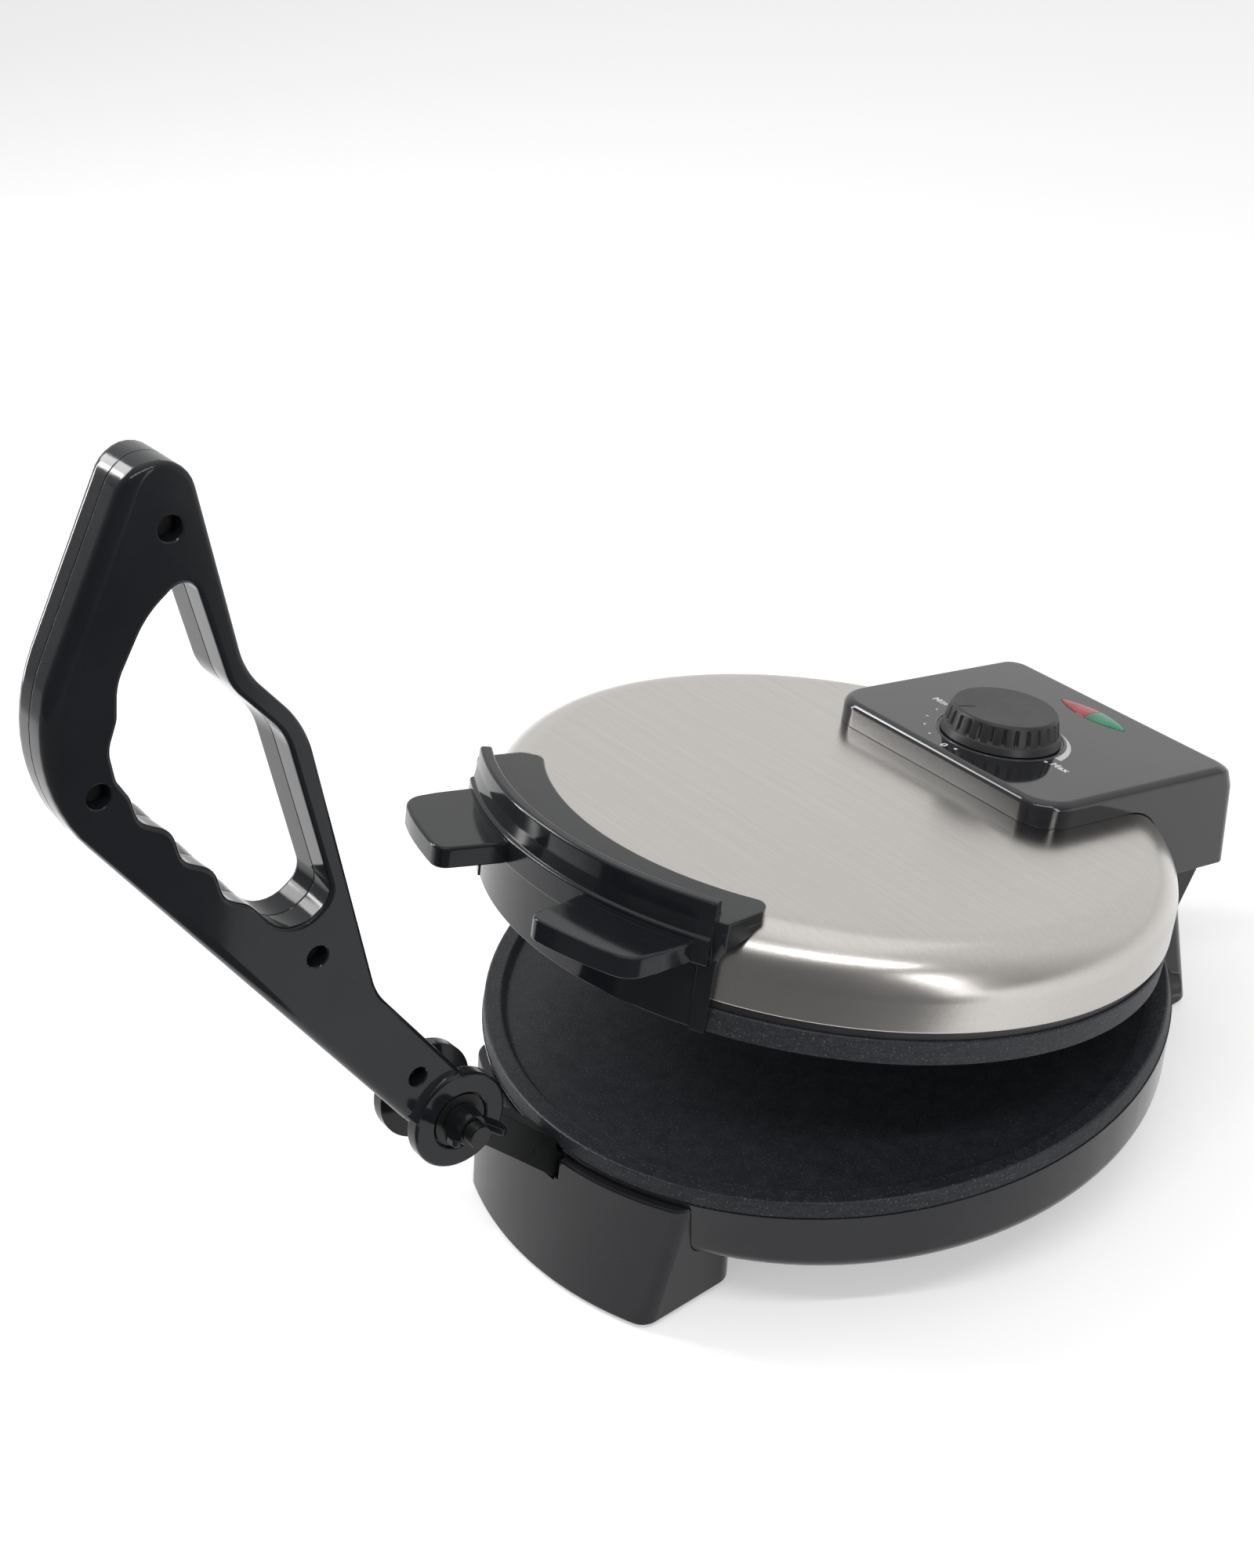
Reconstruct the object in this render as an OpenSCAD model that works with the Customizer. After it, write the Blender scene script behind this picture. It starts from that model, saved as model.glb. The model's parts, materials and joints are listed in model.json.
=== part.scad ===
// Electric roti maker: two round cast plates, a lid on a rear hinge and a press lever in front.
// The origin is the middle of the lower plate's cooking face. The user stands on the -Y side.
// Lid parts are drawn with the lid shut and then tilted open about the rear hinge.

/* [Cooking plates] */
// Diameter over the rim of the lower cast plate
plate_d = 258; // [210:1:310]
// Width of the flat band round the lower plate
rim_w = 6.5; // [5:0.5:8]
// Depth of the pan inside that band
pan_depth = 3; // [2:0.5:4]
// Thickness of the cast plates where the bread lies
plate_t = 6; // [5:0.5:8]
// Height of the rough side of the lower plate
rim_h = 6; // [4:0.5:8]

/* [Base] */
// Height of the lower plate's top above the table
base_h = 60; // [52:1:74]
// Depth of the black bowl under the plate
bowl_h = 28; // [24:1:32]
// Wall thickness of the moulded parts
wall = 3; // [2.5:0.1:3.6]
// Width of the front foot block at its top
block_w = 125; // [100:1:150]
// Width of the rear foot block
rear_w = 106; // [104:1:130]
// Height of the rubber feet below the blocks
foot_h = 2; // [1:0.5:4]

/* [Lid] */
// Angle that the lid stands open
lid_open = 14.4; // [1:0.1:90]
// Height of the steel cover's flat top above the upper plate's face
cover_top = 41; // [36:1:50]
// Radius of the steel cover's shoulder
shoulder_r = 18; // [12:1:22]
// Sheet thickness of the steel cover
sheet = 0.8; // [0.6:0.1:1.2]
// Distance of the hinge axis behind the plate's edge
hinge_back = 18.4; // [17:0.1:22]
// Height of the hinge axis above the lower plate's top
hinge_up = 10.4; // [9:0.1:13]

/* [Front pad] */
// Half angle that the pad spans round the lid
pad_half = 30; // [24:1:34]
// Reach of the tabs past the plate's edge
tab_reach = 33; // [24:1:36]
// Thickness of the tabs
tab_t = 8; // [6:0.5:10]
// Height of the press rib above the flat steel top
rib_h = 9; // [7:0.5:12]

/* [Control housing] */
// Width of the housing
housing_w = 118; // [114:1:136]
// Distance from the lid's middle to the housing's front
housing_front = 46; // [40:1:56]
// Height of the housing above the flat steel top
housing_h = 10; // [8:0.5:14]
// Diameter of the knob's skirt
knob_d = 47; // [38:1:52]
// Height of the knob above the housing
knob_h = 11; // [9:0.5:16]

/* [Press lever] */
// Lean of the lever's arm away from upright
lever_lean = 30; // [20:1:40]
// Thickness of the lever across both halves
lever_t = 22; // [18:0.5:26]
// Size of the lever's outline against the measured one
lever_scale = 1; // [0.8:0.01:1.2]
// Distance of the lever's pivot in front of the tabs
pivot_past = 9.5; // [9:0.5:16]
// Height of the lever's pivot above the lower plate's top
pivot_up = 33.8; // [30:0.2:44]
// Radius of the lever's round hub
hub_r = 18; // [15:0.5:21]
// Radius of the pivot bolt
bolt_r = 4; // [3:0.5:5]

/* [Hidden] */
$fn = 96;
R = plate_d / 2;
eps = 0.01;

// Heights of the base, counted from the cooking face
rim_z = pan_depth;
table_z = rim_z - base_h;
foot_z = table_z + foot_h;
bowl_top = rim_z - rim_h;
bowl_bottom = bowl_top - bowl_h;
floor_top = bowl_bottom + wall;
plate_under = -plate_t;
shield_z = (plate_under + floor_top) / 2 + 1.2;
shield_t = 0.8;
block_top = bowl_top - 2;

// Radii of the base
bowl_r = R + 1.3;
bowl_low_r = R - 0.8;
bowl_round = 9;
post_ring = R * 0.73;
heater_ring = R * 0.6;
heater_r = 4;
screw_r = 2;

// Hinge and pivot axes, as [y, z]
hinge = [R + hinge_back, rim_z + hinge_up];
pivot = [-(R + tab_reach + pivot_past), rim_z + pivot_up];
pin_r = 3;
play = 0.05;

// Lid, counted from the upper plate's face upward
upper_r = R - 2;
gap_shut = 0.3;
upper_rim = 9;
upper_t = 7;
hem_z = upper_rim + 3;
side_z = cover_top - shoulder_r;
housing_top = cover_top + housing_h;
housing_back = hinge[0] + 12;
housing_low = hinge_up - 1.4;
knob_y = housing_front + 35;
tab_top = cover_top - 5;
tab_low = tab_top - tab_t;
skirt_low = 1.5;
skirt_r = upper_r + 0.3;
skirt_out = skirt_r + wall;
flange_r = R - 19.5;
flange_top = cover_top + 3;
upper_ring = upper_r * 0.6;
post_x = 22;
post_y = R * 0.51;
post_front = -R * 0.83;
shield_tab = R * 0.62;
shield_r = norm([post_x, post_front]) - 9;

// Rear ears of the base and cast lugs of the upper plate, along X
ear_x = [38, 50];
lug_x = [26, 36];
ear_r = 9;
lug_r = 8;

// Lever and bracket
half_t = lever_t / 2;
hub_half = half_t + 2.6;
bar_half = 8;
slot_half = bar_half + 0.3;
bar_in = -(R + 2.6);
bar_slope = atan((pivot[1] - bowl_top + 5.8) / (bar_in - pivot[0]));
bar_up = 7;
bar_down = 5.2;
sheet_t = 2.5;
sleeve_r = bolt_r + 2;
eye_r = sleeve_r + 3.5;
seat_r = hub_r * 0.58;
wing_r = bolt_r + 7.2;
tab_r = R + tab_reach;

// Points on a circle of radius r about [cx, cy] from angle a to angle b
function arc(cx, cy, r, a, b, n = 8) =
    [for (i = [0:n]) [cx + r * cos(a + (b - a) * i / n), cy + r * sin(a + (b - a) * i / n)]];

// A closed outline through corners [x, y, r], each rounded by a circle of its radius r
function rounded(c, n = 5) = [for (i = [0:len(c) - 1]) each let (
    p = c[i],
    a = unit(c[(i + len(c) - 1) % len(c)] - p),
    b = unit(c[(i + 1) % len(c)] - p),
    turn = acos(a * b) / 2,
    cut = p[2] / tan(turn),
    mid = flat(p) + unit3(a + b) * p[2] / sin(turn),
    from = flat(p) + a * cut - mid,
    to = flat(p) + b * cut - mid,
    start = atan2(from[1], from[0]),
    swing = wrap(atan2(to[1], to[0]) - start)
) p[2] == 0 ? [flat(p)] : [for (k = [0:n]) mid + p[2] * [cos(start + swing * k / n), sin(start + swing * k / n)]]];
function flat(p) = [p[0], p[1]];
function unit(v) = flat(v) / norm(flat(v));
function unit3(v) = v / norm(v);
function wrap(a) = a > 180 ? a - 360 : a < -180 ? a + 360 : a;

module ring_profile(points) rotate_extrude($fn = 180) polygon(points);
module at_angle(a) rotate([0, 0, a]) children();
module both_sides() {
    children();
    mirror([1, 0, 0]) children();
}
module corners(x, y) for (i = [-1, 1], j = [-1, 1]) translate([i * x, j * y, 0]) children();
// Extrudes an outline drawn as [y, z] along X, from x0 to x1
module along_x(x0, x1) translate([x0, 0, 0]) rotate([90, 0, 90]) linear_extrude(x1 - x0) children();
// A cylinder along X from x0 to x1 about [y, z]
module rod_x(at, r, x0, x1, fn = 48) translate([x0, at[0], at[1]]) rotate([0, 90, 0]) cylinder(r = r, h = x1 - x0, $fn = fn);
// Places shut lid parts at their open angle, with z counted from the upper plate's face
module in_lid() translate([0, hinge[0], hinge[1]]) rotate([-lid_open, 0, 0])
    translate([0, -hinge[0], -hinge_up + gap_shut]) children();

// Outline of the lower plate's posts and screws, at their four places
module at_posts() for (a = [45:90:315]) at_angle(a) translate([post_ring, 0, 0]) children();

module lower_plate() color([0.13, 0.14, 0.16]) difference() {
    union() {
        ring_profile([[0, plate_under], [R - 6, plate_under], [R - 6, bowl_top], [R + 1, bowl_top],
            [R, rim_z - 0.6], [R - 0.6, rim_z], [R - rim_w, rim_z], [R - rim_w - 2, 0], [0, 0]]);
        at_posts() translate([0, 0, shield_z + shield_t])
            cylinder(r = 5.5, h = plate_under - shield_z - shield_t + 1, $fn = 32);
    }
    translate([0, 0, plate_under - 1.5]) rotate_extrude() translate([heater_ring, 0])
        circle(r = heater_r + play, $fn = 32);
    at_posts() translate([0, 0, shield_z - 1]) cylinder(r = screw_r + play, h = 10, $fn = 24);
}

module heater(ring, z, down) {
    at_angle(105) rotate_extrude(angle = 330) translate([ring, z]) circle(r = heater_r, $fn = 32);
    for (a = [105, 75]) at_angle(a) translate([ring, 0, z - (down ? 7 : 0)]) cylinder(r = 2.6, h = 7, $fn = 24);
}
module lower_heater() color([0.45, 0.45, 0.47]) heater(heater_ring, plate_under - 1.5, true);

module lower_heat_shield() color([0.72, 0.73, 0.75]) difference() {
    ring_profile([[0, shield_z], [R - 21, shield_z], [R - 19, shield_z + 3], [R - 20, shield_z + 3.4],
        [R - 21.4, shield_z + shield_t], [0, shield_z + shield_t]]);
    at_posts() translate([0, 0, shield_z - 1]) cylinder(r = screw_r + 0.4, h = 4, $fn = 24);
}

module lower_cutout() color([0.85, 0.82, 0.74]) translate([0, R * 0.2, plate_under]) mirror([0, 0, 1]) {
    cylinder(r = 8, h = 5, $fn = 40);
    for (i = [-1, 1]) translate([i * 4.5 - 0.4, -3, 4]) cube([0.8, 6, 3.5]);
}

// Outside of the bowl as [r, z] points, grown by g all round
function bowl_outside(g) = concat([[0, bowl_bottom - g]],
    arc(bowl_low_r - bowl_round, bowl_bottom + bowl_round, bowl_round + g, -90, -8, 8),
    [[bowl_r + g, bowl_top]]);

module base_bowl() color([0.17, 0.17, 0.18]) difference() {
    union() {
        difference() {
            ring_profile(concat(bowl_outside(0), [[0, bowl_top]]));
            ring_profile(concat([[0, floor_top]],
                arc(bowl_low_r - bowl_round, bowl_bottom + bowl_round, bowl_round - wall, -90, -8, 8),
                [[bowl_r - wall, bowl_top + 1], [0, bowl_top + 1]]));
        }
        at_posts() translate([0, 0, floor_top - 1])
            cylinder(r = 5.5, h = shield_z - floor_top + 1, $fn = 32);
    }
    at_posts() translate([0, 0, bowl_bottom - 1]) cylinder(r = screw_r + 0.3, h = bowl_h, $fn = 24);
    for (p = block_screw_places) translate([p[0], p[1], bowl_bottom - 1])
        cylinder(r = screw_r + 0.3, h = wall + 2, $fn = 24);
    for (i = [-1, 1]) translate([i * bracket_bolt[0], bracket_bolt[1], bowl_bottom - 1])
        cylinder(r = 2.5 + 0.2, h = wall + 2, $fn = 24);
    translate([-bar_half - 0.8, -bowl_r - 5, bar_bottom(-bowl_r) - 2])
        cube([2 * bar_half + 1.6, 14, bowl_h]);
    at_gland() rod_x([0, 0], 5.05, bowl_r - 14, bowl_r + 6);
}

module terminal_block() color([0.88, 0.87, 0.82]) at_angle(78)
    translate([R * 0.6, 0, floor_top]) difference() {
        translate([-6, -17, 0]) cube([12, 34, 11]);
        for (i = [-1, 0, 1]) translate([0, i * 11, 3]) cylinder(r = 2.4, h = 9, $fn = 24);
    }

module base_screws() color([0.62, 0.63, 0.65]) at_posts() {
    translate([0, 0, bowl_bottom - 2.4]) cylinder(r = 4, h = 2.4, $fn = 32);
    translate([0, 0, bowl_bottom - 0.1]) cylinder(r = screw_r, h = shield_z - bowl_bottom + 6, $fn = 24);
}

// Foot blocks: a plan with straight sides and a round front, drawn on the -Y side
block_in = -R * 0.71;
block_screw_places = [[-block_w * 0.32, -R * 0.79], [block_w * 0.32, -R * 0.79],
    [-rear_w * 0.32, R * 0.79], [rear_w * 0.32, R * 0.79]];
module block_plan(w, r, inset = 0) offset(r = 7 - inset, $fn = 32) offset(delta = -7) intersection() {
    circle(r = r, $fn = 120);
    translate([-w / 2, -r - 10]) square([w, r + 10 + block_in]);
}
module front_block_solid(inset) hull() {
    translate([0, 0, foot_z - (inset > 0 ? 1 : 0)]) linear_extrude(eps) block_plan(block_w - 16, R + 14.5, inset);
    translate([0, 0, block_top - inset - eps]) linear_extrude(eps) block_plan(block_w, R + 4.4, inset);
}
module bowl_space(g) ring_profile(concat(bowl_outside(g), [[bowl_r + g, rim_z + 30], [0, rim_z + 30]]));
module foot_boss(x, y) translate([x, y, foot_z]) cylinder(r = 6, h = bowl_top - foot_z - 8, $fn = 32);
front_foot = [block_w * 0.33, -(R - 8)];
rear_foot = [rear_w * 0.36, R - 4];

module front_foot_block() color([0.2, 0.2, 0.21]) difference() {
    union() {
        difference() {
            front_block_solid(0);
            difference() {
                front_block_solid(wall);
                bowl_space(block_skin);
            }
        }
        for (i = [-1, 1]) foot_boss(i * front_foot[0], front_foot[1]);
        for (i = [0, 1]) translate([block_screw_places[i][0], block_screw_places[i][1], bowl_bottom - 14])
            cylinder(r = 5, h = 14, $fn = 32);
    }
    bowl_space(0.2);
    for (i = [-1, 1]) translate([i * front_foot[0], front_foot[1], table_z])
        cylinder(r = 3, h = foot_h + 9, $fn = 24);
    for (i = [0, 1]) translate([block_screw_places[i][0], block_screw_places[i][1], bowl_bottom - 12])
        cylinder(r = screw_r + play, h = 14, $fn = 24);
    for (i = [-1, 1]) translate([i * bracket_bolt[0], bracket_bolt[1], skin_z - 1])
        cylinder(r = 2.7, h = wall + 2, $fn = 24);
    translate([-bar_half - 3, -R - 20, block_top - 8]) cube([2 * bar_half + 6, 40, 20]);
    along_x(-bar_half - 1, bar_half + 1) translate([0, -1]) bar_band(bar_up + 3, bar_down + 1.5);
}

// Rear foot block with the two ears that hold the hinge pin
module rear_plan(y1, inset = 0) offset(r = 7 - inset, $fn = 24) offset(delta = -7)
    translate([-rear_w / 2, -block_in]) square([rear_w, y1 + block_in]);
module rear_solid(inset) hull() {
    translate([0, 0, foot_z - (inset > 0 ? 1 : 0)]) linear_extrude(eps) rear_plan(R + 20, inset);
    translate([0, 0, block_top - 3 - inset]) linear_extrude(eps) rear_plan(R + 14, inset);
}
module ear(x) along_x(x[0], x[1]) {
    translate(hinge) circle(r = ear_r, $fn = 48);
    polygon([hinge + [-ear_r, 0], hinge + ear_r * [cos(-40), sin(-40)], [R + 13, block_top - 4],
        [R + 13, block_top - 9], [R + 4.5, block_top - 9], [R + 4.5, block_top]]);
}
module rear_hinge_block() color([0.2, 0.2, 0.21]) difference() {
    union() {
        difference() {
            rear_solid(0);
            difference() {
                rear_solid(wall);
                bowl_space(wall + 0.2);
            }
        }
        for (i = [-1, 1]) foot_boss(i * rear_foot[0], rear_foot[1]);
        for (i = [2, 3]) translate([block_screw_places[i][0], block_screw_places[i][1], bowl_bottom - 14])
            cylinder(r = 5, h = 14, $fn = 32);
        both_sides() ear(ear_x);
    }
    bowl_space(0.2);
    for (i = [-1, 1]) translate([i * rear_foot[0], rear_foot[1], table_z])
        cylinder(r = 3, h = foot_h + 9, $fn = 24);
    for (i = [2, 3]) translate([block_screw_places[i][0], block_screw_places[i][1], bowl_bottom - 12])
        cylinder(r = screw_r + play, h = 14, $fn = 24);
    rod_x(hinge, pin_r + 0.02, -60, 60);
}

module block_screws() color([0.62, 0.63, 0.65]) for (p = block_screw_places) translate([p[0], p[1], 0]) {
    translate([0, 0, floor_top]) cylinder(r = 3.8, h = 2.2, $fn = 32);
    translate([0, 0, bowl_bottom - 10]) cylinder(r = screw_r, h = wall + 10.1, $fn = 24);
}

module rubber_foot(x, y) color([0.08, 0.08, 0.08]) translate([x, y, table_z]) {
    cylinder(r1 = 7.4, r2 = 8, h = foot_h, $fn = 40);
    translate([0, 0, foot_h - 0.1]) cylinder(r = 2.95, h = 7, $fn = 24);
}
module foot_front_left() rubber_foot(-front_foot[0], front_foot[1]);
module foot_front_right() rubber_foot(front_foot[0], front_foot[1]);
module foot_rear_left() rubber_foot(-rear_foot[0], rear_foot[1]);
module foot_rear_right() rubber_foot(rear_foot[0], rear_foot[1]);

// Power cord gland, screwed into the bowl's wall at the rear right
module at_gland_angle() at_angle(53) children();
module at_gland() at_gland_angle() translate([0, 0, bowl_top - 9.6]) children();
module cord_gland() color([0.09, 0.09, 0.09]) at_gland() difference() {
    union() {
        rod_x([0, 0], 5, bowl_r - 10.5, bowl_r + 1);
        rod_x([0, 0], 6.3, bowl_r, bowl_r + 1.4);
        translate([bowl_r + 1.3, 0, 0]) rotate([0, 90, 0]) cylinder(r1 = 4.9, r2 = 4.3, h = 4, $fn = 48);
        rod_x([0, 0], 6, bowl_r - 10, bowl_r - 6, 6);
    }
    rod_x([0, 0], 3.3, bowl_r - 12, bowl_r + 12);
}

module hinge_pin() color([0.7, 0.71, 0.73]) {
    rod_x(hinge, pin_r, -ear_x[1] - 1.6, ear_x[1] + 1.6);
    rod_x(hinge, pin_r + 1.4, ear_x[1] + 0.1, ear_x[1] + 1.8);
    rod_x(hinge, pin_r + 1.4, -ear_x[1] - 1.8, -ear_x[1] - 0.1);
}

// Press bracket: a folded steel channel from the lever's pivot into the base
function bar_z(y, off) = pivot[1] - (y - pivot[0]) * tan(bar_slope) + off / cos(bar_slope);
function bar_bottom(y) = bar_z(y, -bar_down);
bracket_bolt = [14, -R * 0.82];
block_skin = wall + 0.3;
skin_z = bowl_bottom - block_skin;
foot_in = bracket_bolt[1] + 8;
module bar_band(up, down) polygon([
    pivot + up * [sin(bar_slope), cos(bar_slope)], [bar_in, bar_z(bar_in, up)],
    [bar_in, bowl_top - 1], [-(R - 3), plate_under - 1], [foot_in, floor_top + 5],
    [foot_in, floor_top], [-(R - 14), floor_top], [-(R - 9), floor_top + 3.5],
    [-(R - 5.5), bar_bottom(bar_in)], [bar_in, bar_bottom(bar_in)],
    pivot - down * [sin(bar_slope), cos(bar_slope)]]);
module press_bracket() color([0.1, 0.1, 0.11]) difference() {
    union() {
        along_x(-bar_half, bar_half) {
            bar_band(bar_up, bar_down);
            translate(pivot) circle(r = eye_r, $fn = 64);
        }
        translate([-bracket_bolt[0] - 7, foot_in - 18.5, floor_top])
            cube([2 * bracket_bolt[0] + 14, 18.5, sheet_t]);
    }
    along_x(-bar_half + sheet_t, bar_half - sheet_t) difference() {
        union() {
            translate([-sheet_t, -sheet_t]) bar_band(bar_up - sheet_t, bar_down + 20);
            translate(pivot) circle(r = eye_r + 2, $fn = 48);
        }
        translate([-400, floor_top - 50]) square([800, 50 + sheet_t]);
        translate([foot_in - sheet_t, floor_top]) square([40, 80]);
    }
    rod_x(pivot, sleeve_r + 0.02, -20, 20);
    for (i = [-1, 1]) translate([i * bracket_bolt[0], bracket_bolt[1], floor_top - 1])
        cylinder(r = 2.7, h = 6, $fn = 24);
}
module pivot_sleeve() color([0.72, 0.73, 0.75]) difference() {
    rod_x(pivot, sleeve_r, -bar_half - 0.1, bar_half + 0.1);
    rod_x(pivot, bolt_r + play, -bar_half - 1, bar_half + 1);
}
module bracket_bolts() color([0.62, 0.63, 0.65]) for (i = [-1, 1])
    translate([i * bracket_bolt[0], bracket_bolt[1], 0]) {
        translate([0, 0, skin_z - 3.4]) cylinder(r = 4.6, h = 3.4, $fn = 6);
        translate([0, 0, skin_z - 0.1]) cylinder(r = 2.5, h = floor_top - skin_z + sheet_t + 5.6, $fn = 24);
        translate([0, 0, floor_top + sheet_t]) cylinder(r = 4.6, h = 4, $fn = 6);
    }

// Lid
module at_lid_posts() for (p = [[-post_x, post_y], [post_x, post_y], [-post_x, post_front], [post_x, post_front]])
    translate([p[0], p[1], 0]) children();
// Only the rear posts take screws; the front ones carry the cover under the press rib
module at_cover_screws() for (i = [-1, 1]) translate([i * post_x, post_y, 0]) children();
// Height of the steel cover's outside at radius r
function cover_z(r) = r <= upper_r - shoulder_r ? cover_top
    : side_z + sqrt(pow(shoulder_r, 2) - pow(r - upper_r + shoulder_r, 2));
post_top = cover_top - sheet - 0.6;
shelf_z = upper_t + 13;

module upper_plate() color([0.14, 0.15, 0.17]) in_lid() difference() {
    union() {
        ring_profile([[0, 0], [upper_r - 0.9, 0], [upper_r - 0.7, 0.4], [upper_r - 0.3, upper_rim - 0.5],
            [upper_r - 0.8, upper_rim], [upper_r - 7, upper_rim], [upper_r - 7, upper_t], [0, upper_t]]);
        at_lid_posts() {
            cylinder(r = 5.6, h = shelf_z, $fn = 32);
            cylinder(r = 4.4, h = post_top - 2.4, $fn = 32);
            translate([0, 0, post_top - 2.5]) cylinder(r1 = 4.4, r2 = 3.2, h = 2.5, $fn = 32);
        }
        both_sides() along_x(lug_x[0], lug_x[1]) {
            translate([hinge[0], hinge_up - gap_shut]) circle(r = lug_r, $fn = 48);
            polygon([[upper_r - 9, 0], [upper_r, 0], [hinge[0] - 2, hinge_up - gap_shut - lug_r + 0.4],
                [hinge[0] - 1, hinge_up - gap_shut + lug_r - 0.2], [upper_r + 2, upper_rim - 0.5],
                [upper_r - 9, upper_rim - 0.5]]);
        }
    }
    translate([0, 0, upper_t + 1.5]) rotate_extrude() translate([upper_ring, 0])
        circle(r = heater_r + play, $fn = 32);
    at_cover_screws() translate([0, 0, post_top - 12]) cylinder(r = screw_r + play, h = 14, $fn = 24);
    rod_x([hinge[0], hinge_up - gap_shut], pin_r + play, -60, 60);
}
module upper_heater() color([0.45, 0.45, 0.47]) in_lid() heater(upper_ring, upper_t + 1.5, false);

module upper_heat_shield() color([0.72, 0.73, 0.75]) in_lid() difference() {
    ring_profile([[0, shelf_z], [shield_r - 2.4, shelf_z], [shield_r - 1, shelf_z - 4],
        [shield_r, shelf_z - 4], [shield_r - 1.4, shelf_z + shield_t], [0, shelf_z + shield_t]]);
    for (i = [-1, 1]) translate([i * post_x, post_y, shelf_z - 1]) cylinder(r = 4.6, h = 4, $fn = 32);
    for (i = [-1, 1]) translate([i * shield_tab, 0, shelf_z - 1]) cylinder(r = 4.6, h = 4, $fn = 32);
}

module insulating_ring() color([0.1, 0.1, 0.1]) in_lid()
    ring_profile([[upper_r - 6.5, upper_rim], [upper_r - 1.6, upper_rim], [upper_r - 1.6, hem_z],
        [upper_r - 6.5, hem_z]]);

// Outline of the steel cover in [r, z], moved inward by g
function cover_outside(g) = concat(arc(upper_r - shoulder_r, side_z, shoulder_r - g, 0, 90, 10),
    [[0, cover_top - g]]);
module lid_cover() color([0.76, 0.74, 0.71]) in_lid() difference() {
    ring_profile(concat([[0, hem_z + sheet + 1], [upper_r - 4, hem_z + sheet + 1], [upper_r - 4, hem_z],
        [upper_r, hem_z]], cover_outside(0)));
    ring_profile(concat([[0, hem_z - 1], [upper_r - 4 + eps, hem_z - 1], [upper_r - 4 + eps, hem_z + sheet],
        [upper_r - sheet, hem_z + sheet]], cover_outside(sheet)));
    at_cover_screws() translate([0, 0, cover_top - 9]) cylinder(r = screw_r + 0.3, h = 12, $fn = 24);
    for (p = pad_screw_places) translate([p[0], p[1], cover_top - 9]) cylinder(r = 2.1, h = 12, $fn = 24);
    for (p = housing_screw_places) translate([p[0], p[1], cover_top - 9]) cylinder(r = 2.1, h = 12, $fn = 24);
    translate([0, knob_y, cover_top - 9]) cylinder(r = 5.2, h = 12, $fn = 32);
    translate([-12, lens_y - 6, cover_top - 9]) cube([24, 10, 12]);
}

// Space kept free by the mouldings on the steel cover: they lie on its flat top
// and keep a gap to its shoulder and side
skirt_gap = 0.3;
touch_angle = asin(shoulder_r / (shoulder_r + skirt_gap));
module cover_space() ring_profile(concat([[0, -5], [upper_r + skirt_gap, -5]],
    arc(upper_r - shoulder_r, side_z, shoulder_r + skirt_gap, 0, touch_angle, 10), [[0, cover_top]]));

// A point of the plan at radius r, at angle a from the front toward +X
function front_point(r, a) = [r * sin(a), -r * cos(a)];
pad_screw_places = [[-R * 0.36, -R * 0.79], [R * 0.36, -R * 0.79]];
notch_in = 21;
notch_out = 28;
rib_w = 5;
rib_out = R + 5;
rib_in = rib_out - rib_w;
root_r = R + 7;
fin_t = 7;

// Plan of the flange on the steel top, with its slanted ends
module flange_plan() offset(r = 2.5, $fn = 24) offset(delta = -2.5) polygon(concat(
    arc(0, 0, flange_r, -90 - pad_half - 5, -90 + pad_half + 5, 24),
    [front_point(R - 11, pad_half + 5.4), front_point(rib_out, pad_half + 2)],
    arc(0, 0, rib_out, -90 + pad_half, -90 - pad_half, 24),
    [front_point(rib_out, -pad_half - 2), front_point(R - 11, -pad_half - 5.4)]));

// Plan of the +X tab: straight toward the notch, rounded at its outer corner
module tab_plan() intersection() {
    circle(r = tab_r, $fn = 180);
    offset(r = 4, $fn = 24) offset(delta = -4) polygon([
        [notch_in, -root_r], [notch_out, -(tab_r + 8)],
        front_point(tab_r + 8, pad_half - 8), front_point(tab_r - 3, pad_half - 5.6),
        front_point(tab_r - 13, pad_half - 4), front_point(R, pad_half - 1),
        front_point(R, pad_half - 14)]);
}

// Ribbed wall at each end of the pad; it widens toward the flange in a hollow curve
module pad_end() {
    at_angle(-90 + pad_half - 1) rotate([90, 0, 90]) translate([0, 0, flange_r + 4])
        linear_extrude(rib_out - flange_r - 4) polygon(concat(
            [[-2, skirt_low - 0.4], [fin_t - 3.6, skirt_low - 0.4], [fin_t - 3, side_z - 2.3]],
            arc(fin_t + 10.5, side_z + 1, 13.5, 176, 96, 8), [[fin_t + 14, cover_top - 1.5],
            [fin_t + 14, flange_top], [-2, flange_top]]));
}
// Limits the fins to a little more than the skirt below the tabs
module fin_limit() ring_profile([[0, -5], [skirt_out + 0.7, -5], [skirt_out + 0.7, tab_low + 0.5],
    [rib_out + 0.1, tab_top + 2], [rib_out + 0.1, flange_top], [0, flange_top]]);

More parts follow.
